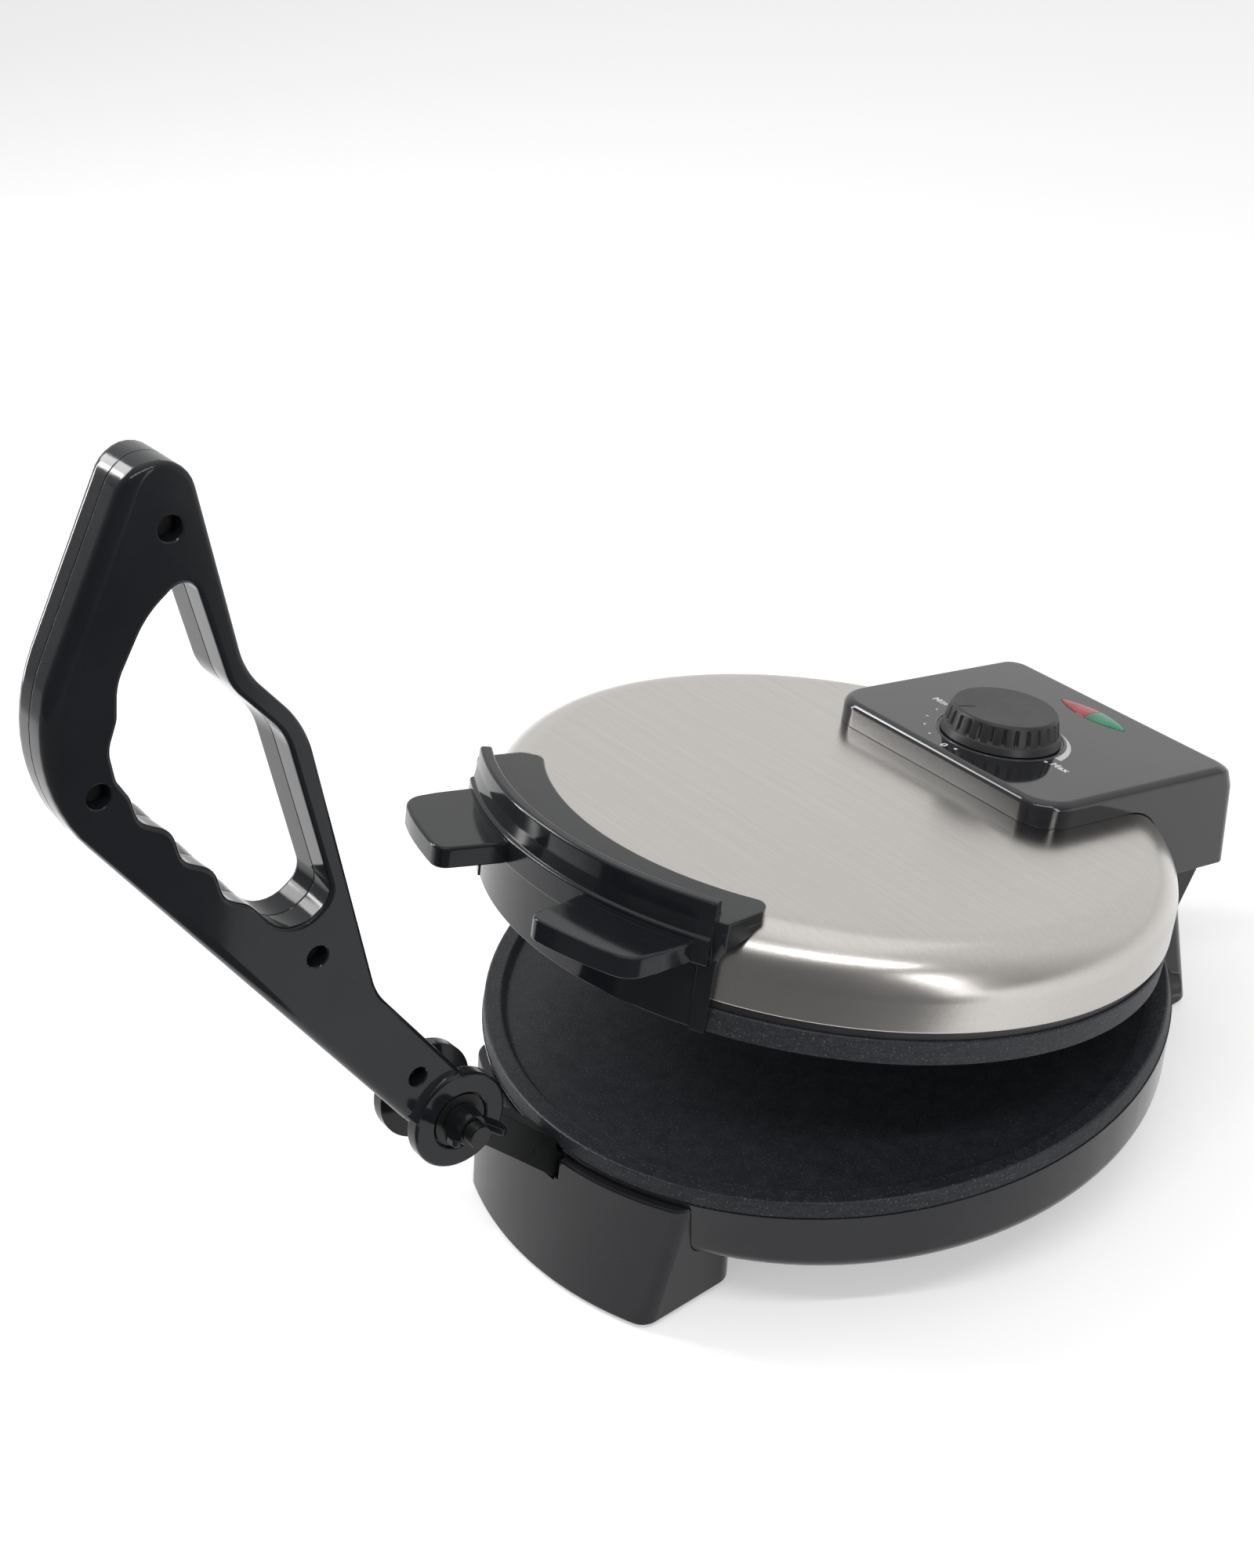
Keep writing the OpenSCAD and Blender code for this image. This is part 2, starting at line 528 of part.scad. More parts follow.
module front_pad() color([0.15, 0.16, 0.17]) in_lid() difference() {
    union() {
        translate([0, 0, cover_top - 1]) linear_extrude(flange_top - cover_top + 1) flange_plan();
        // Skirt, raised root of the tabs and press rib
        at_angle(-90 - pad_half) rotate_extrude(angle = 2 * pad_half, $fn = 180) polygon([
            [skirt_r - 2, skirt_low], [skirt_out - 0.8, skirt_low], [skirt_out, tab_low - 1],
            [root_r, tab_low], [root_r - 0.4, tab_top + 1.6], [rib_out + 0.6, tab_top + 3],
            [rib_out, cover_top + 2], [rib_out - 0.5, cover_top + rib_h - 0.8],
            [rib_out - 1.2, cover_top + rib_h], [rib_in + 0.8, cover_top + rib_h],
            [rib_in, cover_top + rib_h - 0.8], [rib_in - 0.5, flange_top], [rib_in - 2, tab_top - 6],
            [skirt_r - 2, tab_low - 4]]);
        both_sides() intersection() {
            pad_end();
            fin_limit();
            linear_extrude(flange_top) difference() {
                flange_plan();
                circle(r = flange_r + 3, $fn = 120);
            }
        }
        // Tabs, which rise a little toward the rib
        both_sides() {
            translate([0, 0, tab_low]) linear_extrude(tab_t) tab_plan();
            intersection() {
                translate([0, 0, tab_low]) linear_extrude(tab_t + 4) tab_plan();
                ring_profile([[R, tab_top - 1], [R + 20, tab_top - 1], [R + 20, tab_top],
                    [root_r, tab_top + 1.8], [R, tab_top + 1.8]]);
            }
        }
    }
    cover_space();
    for (p = pad_screw_places) translate([p[0], p[1], cover_top - 6])
        cylinder(r = 1.75 + play, h = flange_top - cover_top + 4.9, $fn = 24);
}
module short_screws(places, top) color([0.62, 0.63, 0.65]) in_lid() for (p = places) {
    z = cover_z(norm(p)) - sheet - 0.9;
    translate([p[0], p[1], z - 2]) cylinder(r = 3.4, h = 2, $fn = 32);
    translate([p[0], p[1], z - 0.1]) cylinder(r = 1.75, h = top - z, $fn = 24);
}
module pad_screws() short_screws(pad_screw_places, flange_top - 1.3);

// Control housing over the rear of the lid
lens_y = housing_back - 26;
housing_screw_places = [[-40, housing_front + 14], [40, housing_front + 14], [-40, R * 0.74], [40, R * 0.74]];
module housing_plan(front, back, w, r) offset(r = r, $fn = 32) offset(delta = -r)
    translate([-w / 2, front]) square([w, back - front]);
module housing_slice(z, inset, rear, side, r) translate([0, 0, z - inset]) linear_extrude(eps)
    housing_plan(housing_front + inset + side, housing_back - rear - inset, housing_w - 2 * (inset + side), r - inset);
module housing_solid(inset) hull() {
    housing_slice(housing_low - (inset > 0 ? 1 : 0), inset, 0, 0, 12);
    housing_slice(housing_top - 9, inset, 3.9, 0, 14);
    housing_slice(housing_top - 3, inset, 7, 0, 14);
    housing_slice(housing_top - 0.9, inset, 10.4, 0.9, 13);
    housing_slice(housing_top - eps, inset, 13.4, 3, 12);
}
// Pointed oval of the lamp lens, from tip to tip along X
lens_half = 16;
module lens_plan(g = 0) offset(delta = g) intersection() {
    translate([0, 24]) circle(r = 28.6, $fn = 96);
    translate([0, -24]) circle(r = 28.6, $fn = 96);
}
module control_housing() color([0.3, 0.3, 0.31]) in_lid() difference() {
    union() {
        difference() {
            housing_solid(0);
            housing_solid(wall);
        }
        for (p = housing_screw_places) translate([p[0], p[1], cover_top - 8])
            cylinder(r = 4, h = housing_h + 6, $fn = 32);
    }
    cover_space();
    translate([0, knob_y, cover_top]) cylinder(r = 5, h = housing_h + 5, $fn = 32);
    translate([0, lens_y, cover_top]) linear_extrude(housing_h + 5) lens_plan();
    for (p = housing_screw_places) translate([p[0], p[1], cover_top - 9])
        cylinder(r = 1.75 + play, h = housing_h + 6, $fn = 24);
    both_sides() translate([ear_x[0] - 1.5, hinge[0], housing_low - 5])
        cube([ear_x[1] - ear_x[0] + 3, 30, ear_r + hinge_up + 6 - housing_low]);
}
module housing_screws() short_screws(housing_screw_places, cover_top + housing_h - wall - 1);

module cover_screws() color([0.62, 0.63, 0.65]) in_lid() at_cover_screws() {
    translate([0, 0, cover_top]) cylinder(r = 3.8, h = 2.2, $fn = 32);
    translate([0, 0, post_top - 9]) cylinder(r = screw_r, h = cover_top - post_top + 9.1, $fn = 24);
}

module thermostat() color([0.86, 0.84, 0.78]) in_lid() translate([0, knob_y, 0]) difference() {
    union() {
        translate([-14, -14, shelf_z + 2]) cube([28, 28, cover_top - sheet - shelf_z - 2]);
        translate([0, 0, cover_top - sheet - 0.1]) cylinder(r = 4.9, h = housing_h - wall + sheet, $fn = 40);
        translate([0, 0, cover_top]) cylinder(r = 7.6, h = 2.6, $fn = 6);
    }
    translate([0, 0, cover_top - 8]) cylinder(r = 3 + play, h = 30, $fn = 40);
}
module thermostat_shaft() color([0.75, 0.76, 0.78]) in_lid() translate([0, knob_y, cover_top - 7.9])
    cylinder(r = 3, h = housing_h + 8 + knob_h * 0.65, $fn = 40);

// Knob: a low skirt, a fluted grip and a pointer line on its top
flutes = 28;
module control_knob() color([0.16, 0.16, 0.17]) in_lid() translate([0, knob_y, housing_top + 0.5])
    difference() {
        union() {
            cylinder(r1 = knob_d / 2, r2 = knob_d / 2 - 1, h = 3, $fn = 96);
            translate([0, 0, 2.9]) cylinder(r1 = knob_d / 2 - 1.4, r2 = knob_d / 2 - 3, h = knob_h - 3.9, $fn = 96);
            translate([0, 0, knob_h - 1.1]) cylinder(r1 = knob_d / 2 - 3, r2 = knob_d / 2 - 4.2, h = 1.1, $fn = 96);
        }
        difference() {
            translate([0, 0, -1]) cylinder(r = knob_d / 2 - 5.5, h = knob_h - 1.5, $fn = 64);
            translate([0, 0, -2]) cylinder(r = 6, h = knob_h, $fn = 40);
        }
        translate([0, 0, -2]) cylinder(r = 3.02, h = knob_h * 0.65 + 2, $fn = 40);
        for (k = [0:flutes - 1]) at_angle(k * 360 / flutes) translate([knob_d / 2 - 1.2, -0.6, 3])
            cube([3, 1.2, knob_h - 5]);
        at_angle(-113) translate([knob_d / 2 - 11, -0.5, knob_h - 0.5]) cube([7, 1, 2]);
    }

module lens_half_solid(side) in_lid() translate([0, lens_y, 0]) {
    translate([0, 0, housing_top - wall - 0.2]) linear_extrude(wall + 0.9) intersection() {
        lens_plan(-0.15);
        translate([side > 0 ? 0.1 : -30, -20]) square([29.9, 40]);
    }
}
module red_lens() color([0.67, 0.1, 0.14]) lens_half_solid(-1);
module green_lens() color([0.05, 0.5, 0.32]) lens_half_solid(1);
module indicator_lamps() color([0.95, 0.85, 0.75]) in_lid() for (i = [-1, 1])
    translate([i * 6.5, lens_y, cover_top - 6]) cylinder(r = 2.6, h = housing_h + 6 - wall - 0.4, $fn = 32);

// Press lever, drawn as [p, q] about its pivot: q runs up the arm and p points to the lid
module lever_place() translate([0, pivot[0], pivot[1]]) rotate([lever_lean, 0, 0]) children();
// Extrudes a lever outline along X, from x0 to x1
module lever_slab(x0, x1) lever_place() along_x(x0, x1) scale(lever_scale) children();
lever_corners = [[-12, 0, 0], [-12.5, 223.5, 57], [96.3, 278.6, 12], [55.2, 191.3, 30],
    [57, 161.8, 40], [12.5, 66, 25], [12.5, 0, 0]];
// Finger waves along the grip side of the opening
wave_top = 194;
wave_pitch = 21.7;
function wave(q) = 4.4 + 1.6 * cos((wave_top - q) * 360 / wave_pitch);
grip_waves = [for (k = [0:24]) let (q = wave_top - k * 3 * wave_pitch / 24) [wave(q), q]];
hole_corners = [[5.9, 107.8, 13], [26, 107.8, 8], [51, 165, 25], [49.2, 191.4, 20],
    [65.2, 230.2, 6], [46, 230.2, 30], [27, 222, 20], [19.5, 213.6, 10], [11.5, 208.6, 12],
    [6.4, 199, 8]];
module lever_outline() {
    polygon(rounded(lever_corners, 8));
    circle(r = hub_r, $fn = 72);
}
module lever_hole() polygon(concat(rounded(hole_corners, 6), grip_waves));
module lever_section(inset) difference() {
    offset(delta = -inset) lever_outline();
    offset(delta = inset) lever_hole();
}
lever_screw_places = [[68, 244, 4.8], [0.4, 200.5, 4.8], [8.5, 96.6, 4.4], [1.4, 27, 3.9]];
module at_lever_screws() for (s = lever_screw_places) lever_place()
    translate([0, s[0] * lever_scale, s[1] * lever_scale]) rotate([0, 90, 0]) children();
edge_cut = 1.6;
// One half of the lever on the +X side: an open shell with screw bosses and a round hub cheek
module lever_half_shell(recessed) {
    difference() {
        union() {
            difference() {
                union() {
                    lever_slab(0, half_t - edge_cut) lever_section(0);
                    lever_slab(half_t - edge_cut - eps, half_t - edge_cut / 3) lever_section(edge_cut / 3);
                    lever_slab(half_t - edge_cut / 3 - eps, half_t) lever_section(edge_cut);
                }
                lever_slab(-1, half_t - wall) lever_section(wall);
            }
            intersection() {
                for (s = lever_screw_places) lever_place() rod_x(s * lever_scale, s[2] + 1.6, 0, half_t - 1);
                lever_slab(0, half_t) lever_section(0.4);
            }
            lever_slab(0, half_t - 1) intersection() {
                lever_section(0);
                square([60, 64], center = true);
            }
            rod_x(pivot, hub_r, slot_half, hub_half - 1);
            rod_x(pivot, hub_r - 1, hub_half - 1 - eps, hub_half);
        }
        rod_x(pivot, hub_r + 2, -1, slot_half);
        rod_x(pivot, bolt_r + play, -20, 30);
        rod_x(pivot, seat_r, hub_half - 2, hub_half + 5);
        if (recessed) for (s = lever_screw_places) lever_place() {
            rod_x(s * lever_scale, s[2], 3, 30);
            rod_x(s * lever_scale, 2, -1, 4);
        }
        if (!recessed) for (s = lever_screw_places) lever_place() rod_x(s * lever_scale, 1.55, -1, 7);
    }
}
module lever_right_half() color([0.16, 0.17, 0.18]) lever_half_shell(true);
module lever_left_half() color([0.17, 0.18, 0.19]) mirror([1, 0, 0]) lever_half_shell(false);
module lever_screws() color([0.3, 0.3, 0.32]) for (s = lever_screw_places) lever_place() {
    rod_x(s * lever_scale, s[2] - 1, 3, 5.4, 32);
    rod_x(s * lever_scale, 1.5, -6, 3.1, 24);
}

module pivot_bolt() color([0.2, 0.2, 0.21]) {
    rod_x(pivot, bolt_r, -hub_half + 1.8, hub_half + 12);
    rod_x(pivot, seat_r - 1.2, -hub_half - 1.6, -hub_half + 2);
}
module pivot_washer() color([0.6, 0.61, 0.63]) difference() {
    rod_x(pivot, seat_r - 0.6, hub_half - 2, hub_half - 0.5);
    rod_x(pivot, bolt_r + 0.2, 0, 40);
}
nut_x = hub_half - 0.4;
module wing_nut() color([0.13, 0.13, 0.14]) difference() {
    union() {
        translate([nut_x, pivot[0], pivot[1]]) rotate([0, 90, 0]) cylinder(r1 = bolt_r + 4, r2 = bolt_r + 2.2, h = 7.5, $fn = 48);
        for (a = [0, 180]) translate([0, pivot[0], pivot[1]]) rotate([-16 + a, 0, 0])
            linear_extrude(2.6, center = true) polygon([[nut_x + 1, bolt_r + 1], [nut_x + 1.5, bolt_r + 3.4],
                [nut_x + 8, wing_r], [nut_x + 12.4, wing_r - 0.2], [nut_x + 13, wing_r - 2.4],
                [nut_x + 7, bolt_r + 1]]);
    }
    rod_x(pivot, bolt_r + play, 0, 60);
}

lower_plate();
lower_heater();
lower_heat_shield();
lower_cutout();
base_bowl();
terminal_block();
base_screws();
front_foot_block();
rear_hinge_block();
block_screws();
foot_front_left();
foot_front_right();
foot_rear_left();
foot_rear_right();
cord_gland();
hinge_pin();
press_bracket();
bracket_bolts();
pivot_sleeve();
upper_plate();
upper_heater();
upper_heat_shield();
insulating_ring();
lid_cover();
front_pad();
pad_screws();
control_housing();
housing_screws();
cover_screws();
thermostat();
indicator_lamps();
red_lens();
green_lens();
thermostat_shaft();
control_knob();
lever_right_half();
lever_left_half();
lever_screws();
pivot_bolt();
pivot_washer();
wing_nut();
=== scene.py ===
# Looks of the electric roti maker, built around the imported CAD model.
import json
import math

import bmesh
import bpy
from mathutils import Matrix, Vector


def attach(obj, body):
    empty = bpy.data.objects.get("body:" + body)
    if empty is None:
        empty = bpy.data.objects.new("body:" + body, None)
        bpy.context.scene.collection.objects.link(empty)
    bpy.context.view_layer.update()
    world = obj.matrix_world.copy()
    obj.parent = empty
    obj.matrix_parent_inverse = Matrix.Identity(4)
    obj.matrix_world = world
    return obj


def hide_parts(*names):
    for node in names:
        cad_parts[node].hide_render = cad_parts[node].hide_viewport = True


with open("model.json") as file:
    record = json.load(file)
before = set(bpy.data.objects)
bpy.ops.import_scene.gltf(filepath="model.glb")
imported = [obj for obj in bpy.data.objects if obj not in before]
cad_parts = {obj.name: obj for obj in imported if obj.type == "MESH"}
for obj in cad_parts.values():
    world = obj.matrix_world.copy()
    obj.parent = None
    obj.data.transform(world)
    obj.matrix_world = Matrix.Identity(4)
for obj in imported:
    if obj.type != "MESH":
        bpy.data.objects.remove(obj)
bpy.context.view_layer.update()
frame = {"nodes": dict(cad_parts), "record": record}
scene = bpy.context.scene

# Sizes repeated from the part's source, in millimetres
MM = 0.001
PLATE_R = 129
RIM_Z = 3
TABLE_Z = -57
SHUT_GAP = 0.3
HINGE_UP = 10.4
HINGE_Y = PLATE_R + 18.4
EAR_X = 44
COVER_R = PLATE_R - 2
COVER_TOP = 41
SHOULDER_R = 18
HOUSING_TOP = 51
KNOB_Y = 81
LENS_Y = 133.4
HINGE = Vector((0, HINGE_Y * MM, (RIM_Z + HINGE_UP) * MM))
PIVOT = Vector((0, -(PLATE_R + 42.5) * MM, (RIM_Z + 33.8) * MM))
LID_OPEN = math.radians(14.4)
LEVER_LEAN = math.radians(30)

# A point of the shut lid, with z counted from the upper plate's face, at its open place
LID = (Matrix.Translation(HINGE) @ Matrix.Rotation(-LID_OPEN, 4, "X")
       @ Matrix.Translation((0, -HINGE.y, (SHUT_GAP - HINGE_UP) * MM)))
# A point [x, p, q] of the lever, with q up the arm, at its leaning place
LEVER = Matrix.Translation(PIVOT) @ Matrix.Rotation(LEVER_LEAN, 4, "X")


# Camera, fitted to the photograph
def place_camera():
    azimuth, elevation, roll = map(math.radians, (55.212, 32.427, -5.0))
    distance, shift_right, shift_up = 981.6 * MM, -74.075 * MM, 72.009 * MM
    photo_px, focal_px, sensor = 1600, 3299.9, 36
    back = Vector((math.sin(azimuth) * math.cos(elevation),
                   -math.cos(azimuth) * math.cos(elevation), math.sin(elevation)))
    right = (-back).cross(Vector((0, 0, 1))).normalized()
    up = right.cross(-back)
    right, up = (right * math.cos(roll) + up * math.sin(roll),
                 up * math.cos(roll) - right * math.sin(roll))
    data = bpy.data.cameras.new("camera")
    data.sensor_fit = "HORIZONTAL"
    data.sensor_width = sensor
    data.lens = focal_px * sensor / photo_px
    data.clip_start, data.clip_end = 0.05, 30
    camera = bpy.data.objects.new("camera", data)
    scene.collection.objects.link(camera)
    place = back * distance + right * shift_right + up * shift_up + Vector((0, 0, RIM_Z * MM))
    camera.matrix_world = Matrix.Translation(place) @ Matrix((right, up, back)).transposed().to_4x4()
    scene.camera = camera


place_camera()


# Materials: the frame's own ones give up their names to those built here
for packed in list(bpy.data.materials):
    packed.name = "packed_" + packed.name


class Nodes:
    """Builds the node tree of a material or world with short calls."""

    def __init__(self, owner):
        owner.use_nodes = True
        self.owner, self.tree = owner, owner.node_tree
        self.tree.nodes.clear()

    def add(self, kind, inputs=None, **settings):
        node = self.tree.nodes.new(kind)
        for name, value in settings.items():
            setattr(node, name, value)
        for name, value in (inputs or {}).items():
            self.put(node, name, value)
        return node

    def put(self, node, name, value):
        """Links a socket to an input, or sets the input to a constant."""
        socket = node.inputs[name]
        if isinstance(value, bpy.types.NodeSocket):
            self.tree.links.new(value, socket)
        else:
            socket.default_value = value


def colour(rgb):
    return (*rgb, 1)


def range_of(n, value, low, high, start=0.0, end=1.0):
    """value, from start to end, spread from low to high."""
    return n.add("ShaderNodeMapRange", {"Value": value, "From Min": start, "From Max": end,
                                        "To Min": low, "To Max": high}).outputs["Result"]


def noise(n, place, scale, detail=3.0, rough=0.5):
    return n.add("ShaderNodeTexNoise", {"Vector": place, "Scale": scale, "Detail": detail,
                                        "Roughness": rough}).outputs["Fac"]


def mixed(n, factor, a, b):
    """A colour between a and b."""
    ramp = n.add("ShaderNodeValToRGB", {"Fac": factor})
    ramp.color_ramp.elements[0].color = colour(a)
    ramp.color_ramp.elements[1].color = colour(b)
    return ramp.outputs["Color"]


def math_of(n, operation, *values):
    inputs = dict(enumerate(values))
    return n.add("ShaderNodeMath", inputs, operation=operation).outputs["Value"]


def stretched(n, place, scale):
    """Coordinates scaled along each axis, for a pattern drawn out along one of them."""
    return n.add("ShaderNodeMapping", {"Vector": place, "Scale": scale}).outputs["Vector"]


def soft_edges(n, radius):
    """A normal that rounds sharp edges by radius."""
    return n.add("ShaderNodeBevel", {"Radius": radius}, samples=4).outputs["Normal"]


def bumped(n, height, depth, normal=None):
    inputs = {"Height": height, "Strength": 1.0, "Distance": depth}
    if normal is not None:
        inputs["Normal"] = normal
    return n.add("ShaderNodeBump", inputs).outputs["Normal"]


def started(name):
    """Nodes of a new material, and the coordinates of its object."""
    n = Nodes(bpy.data.materials.new(name))
    return n, n.add("ShaderNodeTexCoord").outputs["Object"]


def finished(n, inputs):
    """The material, with a principled shader on top of its nodes."""
    shader = n.add("ShaderNodeBsdfPrincipled", inputs)
    n.add("ShaderNodeOutputMaterial", {"Surface": shader.outputs["BSDF"]})
    return n.owner


def plastic(name, dark, light, smooth, rough, grain=0.0, grain_scale=2500, edge=0.35 * MM, gloss=0.5):
    """Moulded plastic: cloudy gloss, a fine grain and softened edges."""
    n, place = started(name)
    cloud = noise(n, place, 35, 4)
    normal = soft_edges(n, edge)
    if grain:
        normal = bumped(n, noise(n, place, grain_scale, 2), grain, normal)
    speck = noise(n, place, 420, 5, 0.7)
    haze = math_of(n, "ADD", range_of(n, cloud, smooth, rough, 0.3, 0.7),
                   range_of(n, speck, -0.02, 0.03, 0.35, 0.75))
    return finished(n, {
        "Base Color": mixed(n, range_of(n, cloud, 0, 1, 0.3, 0.7), dark, light),
        "Roughness": haze, "Normal": normal, "Specular IOR Level": gloss})


def lid_place(n, place):
    """Coordinates in the shut lid's axes."""
    return n.add("ShaderNodeMapping", {"Vector": place, "Rotation": (LID_OPEN, 0, 0)}).outputs["Vector"]


def brushed_steel(name):
    """Fine straight brushing along the lid's width, which shows as level lines on its side."""
    n, place = started(name)
    place = lid_place(n, place)
    fine = noise(n, stretched(n, place, (30, 2200, 2200)), 1, 2, 0.6)
    broad = noise(n, stretched(n, place, (9, 600, 600)), 1, 3, 0.6)
    smear = noise(n, place, 14, 3)
    both = math_of(n, "ADD", fine, broad)
    dark, light = (0.475, 0.455, 0.43), (0.525, 0.505, 0.48)
    return finished(n, {
        "Base Color": mixed(n, range_of(n, both, 0, 1, 0.6, 1.4), dark, light),
        "Metallic": 1.0,
        "Roughness": range_of(n, smear, 0.2, 0.27, 0.3, 0.7),
        "Normal": bumped(n, both, 0.012 * MM)})


def cast_metal(name):
    """Cast and coated plate: rough round its side, smooth with fine specks where it is flat."""
    n, place = started(name)
    turned = noise(n, stretched(n, place, (150, 150, 700)), 1, 5, 0.65)
    grain = noise(n, place, 900, 5, 0.7)
    up = n.add("ShaderNodeSeparateXYZ", {"Vector": n.add("ShaderNodeNewGeometry").outputs["True Normal"]})
    side = range_of(n, math_of(n, "ABSOLUTE", up.outputs["Z"]), 1, 0, 0.3, 0.8)
    both = math_of(n, "ADD", turned, grain)
    height = math_of(n, "MULTIPLY", both, range_of(n, side, 0.12, 1))
    speck = range_of(n, noise(n, place, 1600, 2, 0.5), 0, 1, 0.62, 0.7)
    base = mixed(n, range_of(n, both, 0, 1, 0.7, 1.3), (0.009, 0.01, 0.0125), (0.024, 0.026, 0.031))
    lighter = n.add("ShaderNodeMix", {"Factor": speck, "A": base, "B": (0.09, 0.09, 0.095, 1)},
                    data_type="RGBA")
    return finished(n, {
        "Base Color": lighter.outputs["Result"],
        "Roughness": range_of(n, side, 0.4, 0.52), "Specular IOR Level": 0.25,
        "Normal": bumped(n, height, 0.16 * MM, soft_edges(n, 0.5 * MM))})


def plain_metal(name, dark, light, rough, scale=300):
    n, place = started(name)
    cloud = noise(n, place, scale, 4)
    return finished(n, {
        "Base Color": mixed(n, range_of(n, cloud, 0, 1, 0.3, 0.7), dark, light), "Metallic": 1.0,
        "Roughness": range_of(n, cloud, rough - 0.05, rough + 0.08, 0.3, 0.7),
        "Normal": bumped(n, noise(n, place, 2200, 2), 0.01 * MM, soft_edges(n, 0.25 * MM))})


def lens_plastic(name, deep, bright):
    """Coloured lamp plastic with faint ribs below a glossy face."""
    n, place = started(name)
    ribs = n.add("ShaderNodeTexWave", {"Vector": lid_place(n, place), "Scale": 190.0, "Distortion": 0.3},
                 bands_direction="X").outputs["Fac"]
    cloud = noise(n, place, 160, 3)
    both = math_of(n, "ADD", range_of(n, ribs, 0, 0.35), cloud)
    return finished(n, {
        "Base Color": mixed(n, range_of(n, both, 0, 1, 0.3, 1.0), deep, bright),
        "Roughness": range_of(n, cloud, 0.06, 0.12), "Specular IOR Level": 0.5,
        "Normal": bumped(n, cloud, 0.01 * MM)})


def glass(name):
    n, place = started(name)
    cloud = noise(n, place, 300, 2)
    return finished(n, {
        "Base Color": mixed(n, cloud, (0.95, 0.7, 0.5), (1, 0.9, 0.8)), "Transmission Weight": 0.9,
        "Roughness": range_of(n, cloud, 0.02, 0.08), "IOR": 1.5})


MATERIALS = {
    "coated_cast_plate": cast_metal("coated_cast_plate"),
    "heater_sheath": plain_metal("heater_sheath", (0.1, 0.09, 0.09), (0.24, 0.22, 0.21), 0.5),
    "bright_sheet": plain_metal("bright_sheet", (0.6, 0.6, 0.61), (0.75, 0.75, 0.76), 0.3, 60),
    "ceramic": plastic("ceramic", (0.62, 0.6, 0.53), (0.74, 0.71, 0.64), 0.6, 0.75, 0.04 * MM, 1200),
    "satin_black_plastic": plastic("satin_black_plastic", (0.009, 0.0095, 0.0115), (0.013, 0.0135, 0.0155),
                                   0.13, 0.18, 0.001 * MM, 1800, gloss=0.28),
    "matte_black_plastic": plastic("matte_black_plastic", (0.015, 0.015, 0.0165), (0.023, 0.023, 0.025),
                                   0.4, 0.5, 0.02 * MM, 2200, gloss=0.4),
    "gloss_black_plastic": plastic("gloss_black_plastic", (0.008, 0.0088, 0.0105), (0.011, 0.0121, 0.0142),
                                   0.08, 0.12, 0.001 * MM, 700, 0.4 * MM, 0.28),
    "foot_rubber": plastic("foot_rubber", (0.02, 0.02, 0.02), (0.04, 0.04, 0.04),
                           0.75, 0.9, 0.06 * MM, 1500),
    "brushed_cover_steel": brushed_steel("brushed_cover_steel"),
    "black_painted_steel": plastic("black_painted_steel", (0.006, 0.0065, 0.0065), (0.011, 0.0115, 0.0115),
                                   0.26, 0.36, 0.02 * MM, 1500, gloss=0.3),
    "zinc_steel": plain_metal("zinc_steel", (0.5, 0.5, 0.5), (0.66, 0.66, 0.67), 0.25),
    "lamp_glass": glass("lamp_glass"),
    "red_lens_plastic": lens_plastic("red_lens_plastic", (0.2, 0.012, 0.016), (0.42, 0.04, 0.05)),
    "green_lens_plastic": lens_plastic("green_lens_plastic", (0.004, 0.11, 0.05), (0.012, 0.27, 0.13)),
}
# The housing is smoother than the other satin pieces
HOOD_BLACK = plastic("hood_black_plastic", (0.012, 0.0125, 0.015), (0.017, 0.0175, 0.02),
                     0.06, 0.08, gloss=0.55)


def white_ink():
    n, place = started("white_ink")
    cloud = noise(n, place, 1500, 4, 0.7)
    return finished(n, {
        "Base Color": mixed(n, range_of(n, cloud, 0, 1, 0.3, 0.7), (0.62, 0.62, 0.64), (0.8, 0.8, 0.82)),
        "Roughness": range_of(n, cloud, 0.35, 0.5)})


INK = white_ink()

RECORD = frame["record"]
SLOT_OF = {part["node"]: part["material_slot"] for part in RECORD["subparts"]}
BODY_OF = {node: body for body, nodes in RECORD["behaviour"]["bodies"].items() for node in nodes}
for node, obj in frame["nodes"].items():
    obj.data.materials.clear()
    obj.data.materials.append(MATERIALS[SLOT_OF[node]])


# Pieces
def finish_piece(piece, node, stands_for=(), material=None):
    """Gives a piece the material of a CAD node's slot, or the material given, puts it on the node's body, and
    hides the nodes that it stands for.
    """
    piece.data.materials.clear()
    piece.data.materials.append(material or MATERIALS[SLOT_OF[node]])
    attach(piece, BODY_OF[node])
    if stands_for:
        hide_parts(*stands_for)


def new_piece(name, bm, place=None):
    """A linked object from a bmesh, moved by the matrix place."""
    bmesh.ops.recalc_face_normals(bm, faces=bm.faces)
    if place is not None:
        bm.transform(place)
    mesh = bpy.data.meshes.new(name)
    bm.to_mesh(mesh)
    bm.free()
    piece = bpy.data.objects.new(name, mesh)
    scene.collection.objects.link(piece)
    return piece


def cad_copy(name, node):
    """A linked copy of a CAD node."""
    piece = bpy.data.objects.new(name, frame["nodes"][node].data.copy())
    scene.collection.objects.link(piece)
    return piece


def mesh_now(obj):
    """The object's mesh as it stands with its modifiers, or made of its curves."""
    bpy.context.view_layer.update()
    return bpy.data.meshes.new_from_object(obj.evaluated_get(bpy.context.evaluated_depsgraph_get()))


def apply_modifiers(piece):
    mesh = mesh_now(piece)
    piece.modifiers.clear()
    piece.data = mesh


def combined(piece, *tools, operation="DIFFERENCE"):
    """Cuts, joins or intersects the piece with the tools, and removes them."""
    for tool in tools:
        step = piece.modifiers.new("combined", "BOOLEAN")
        step.operation, step.solver, step.object = operation, "EXACT", tool
    apply_modifiers(piece)
    for tool in tools:
        bpy.data.objects.remove(tool)
    return piece


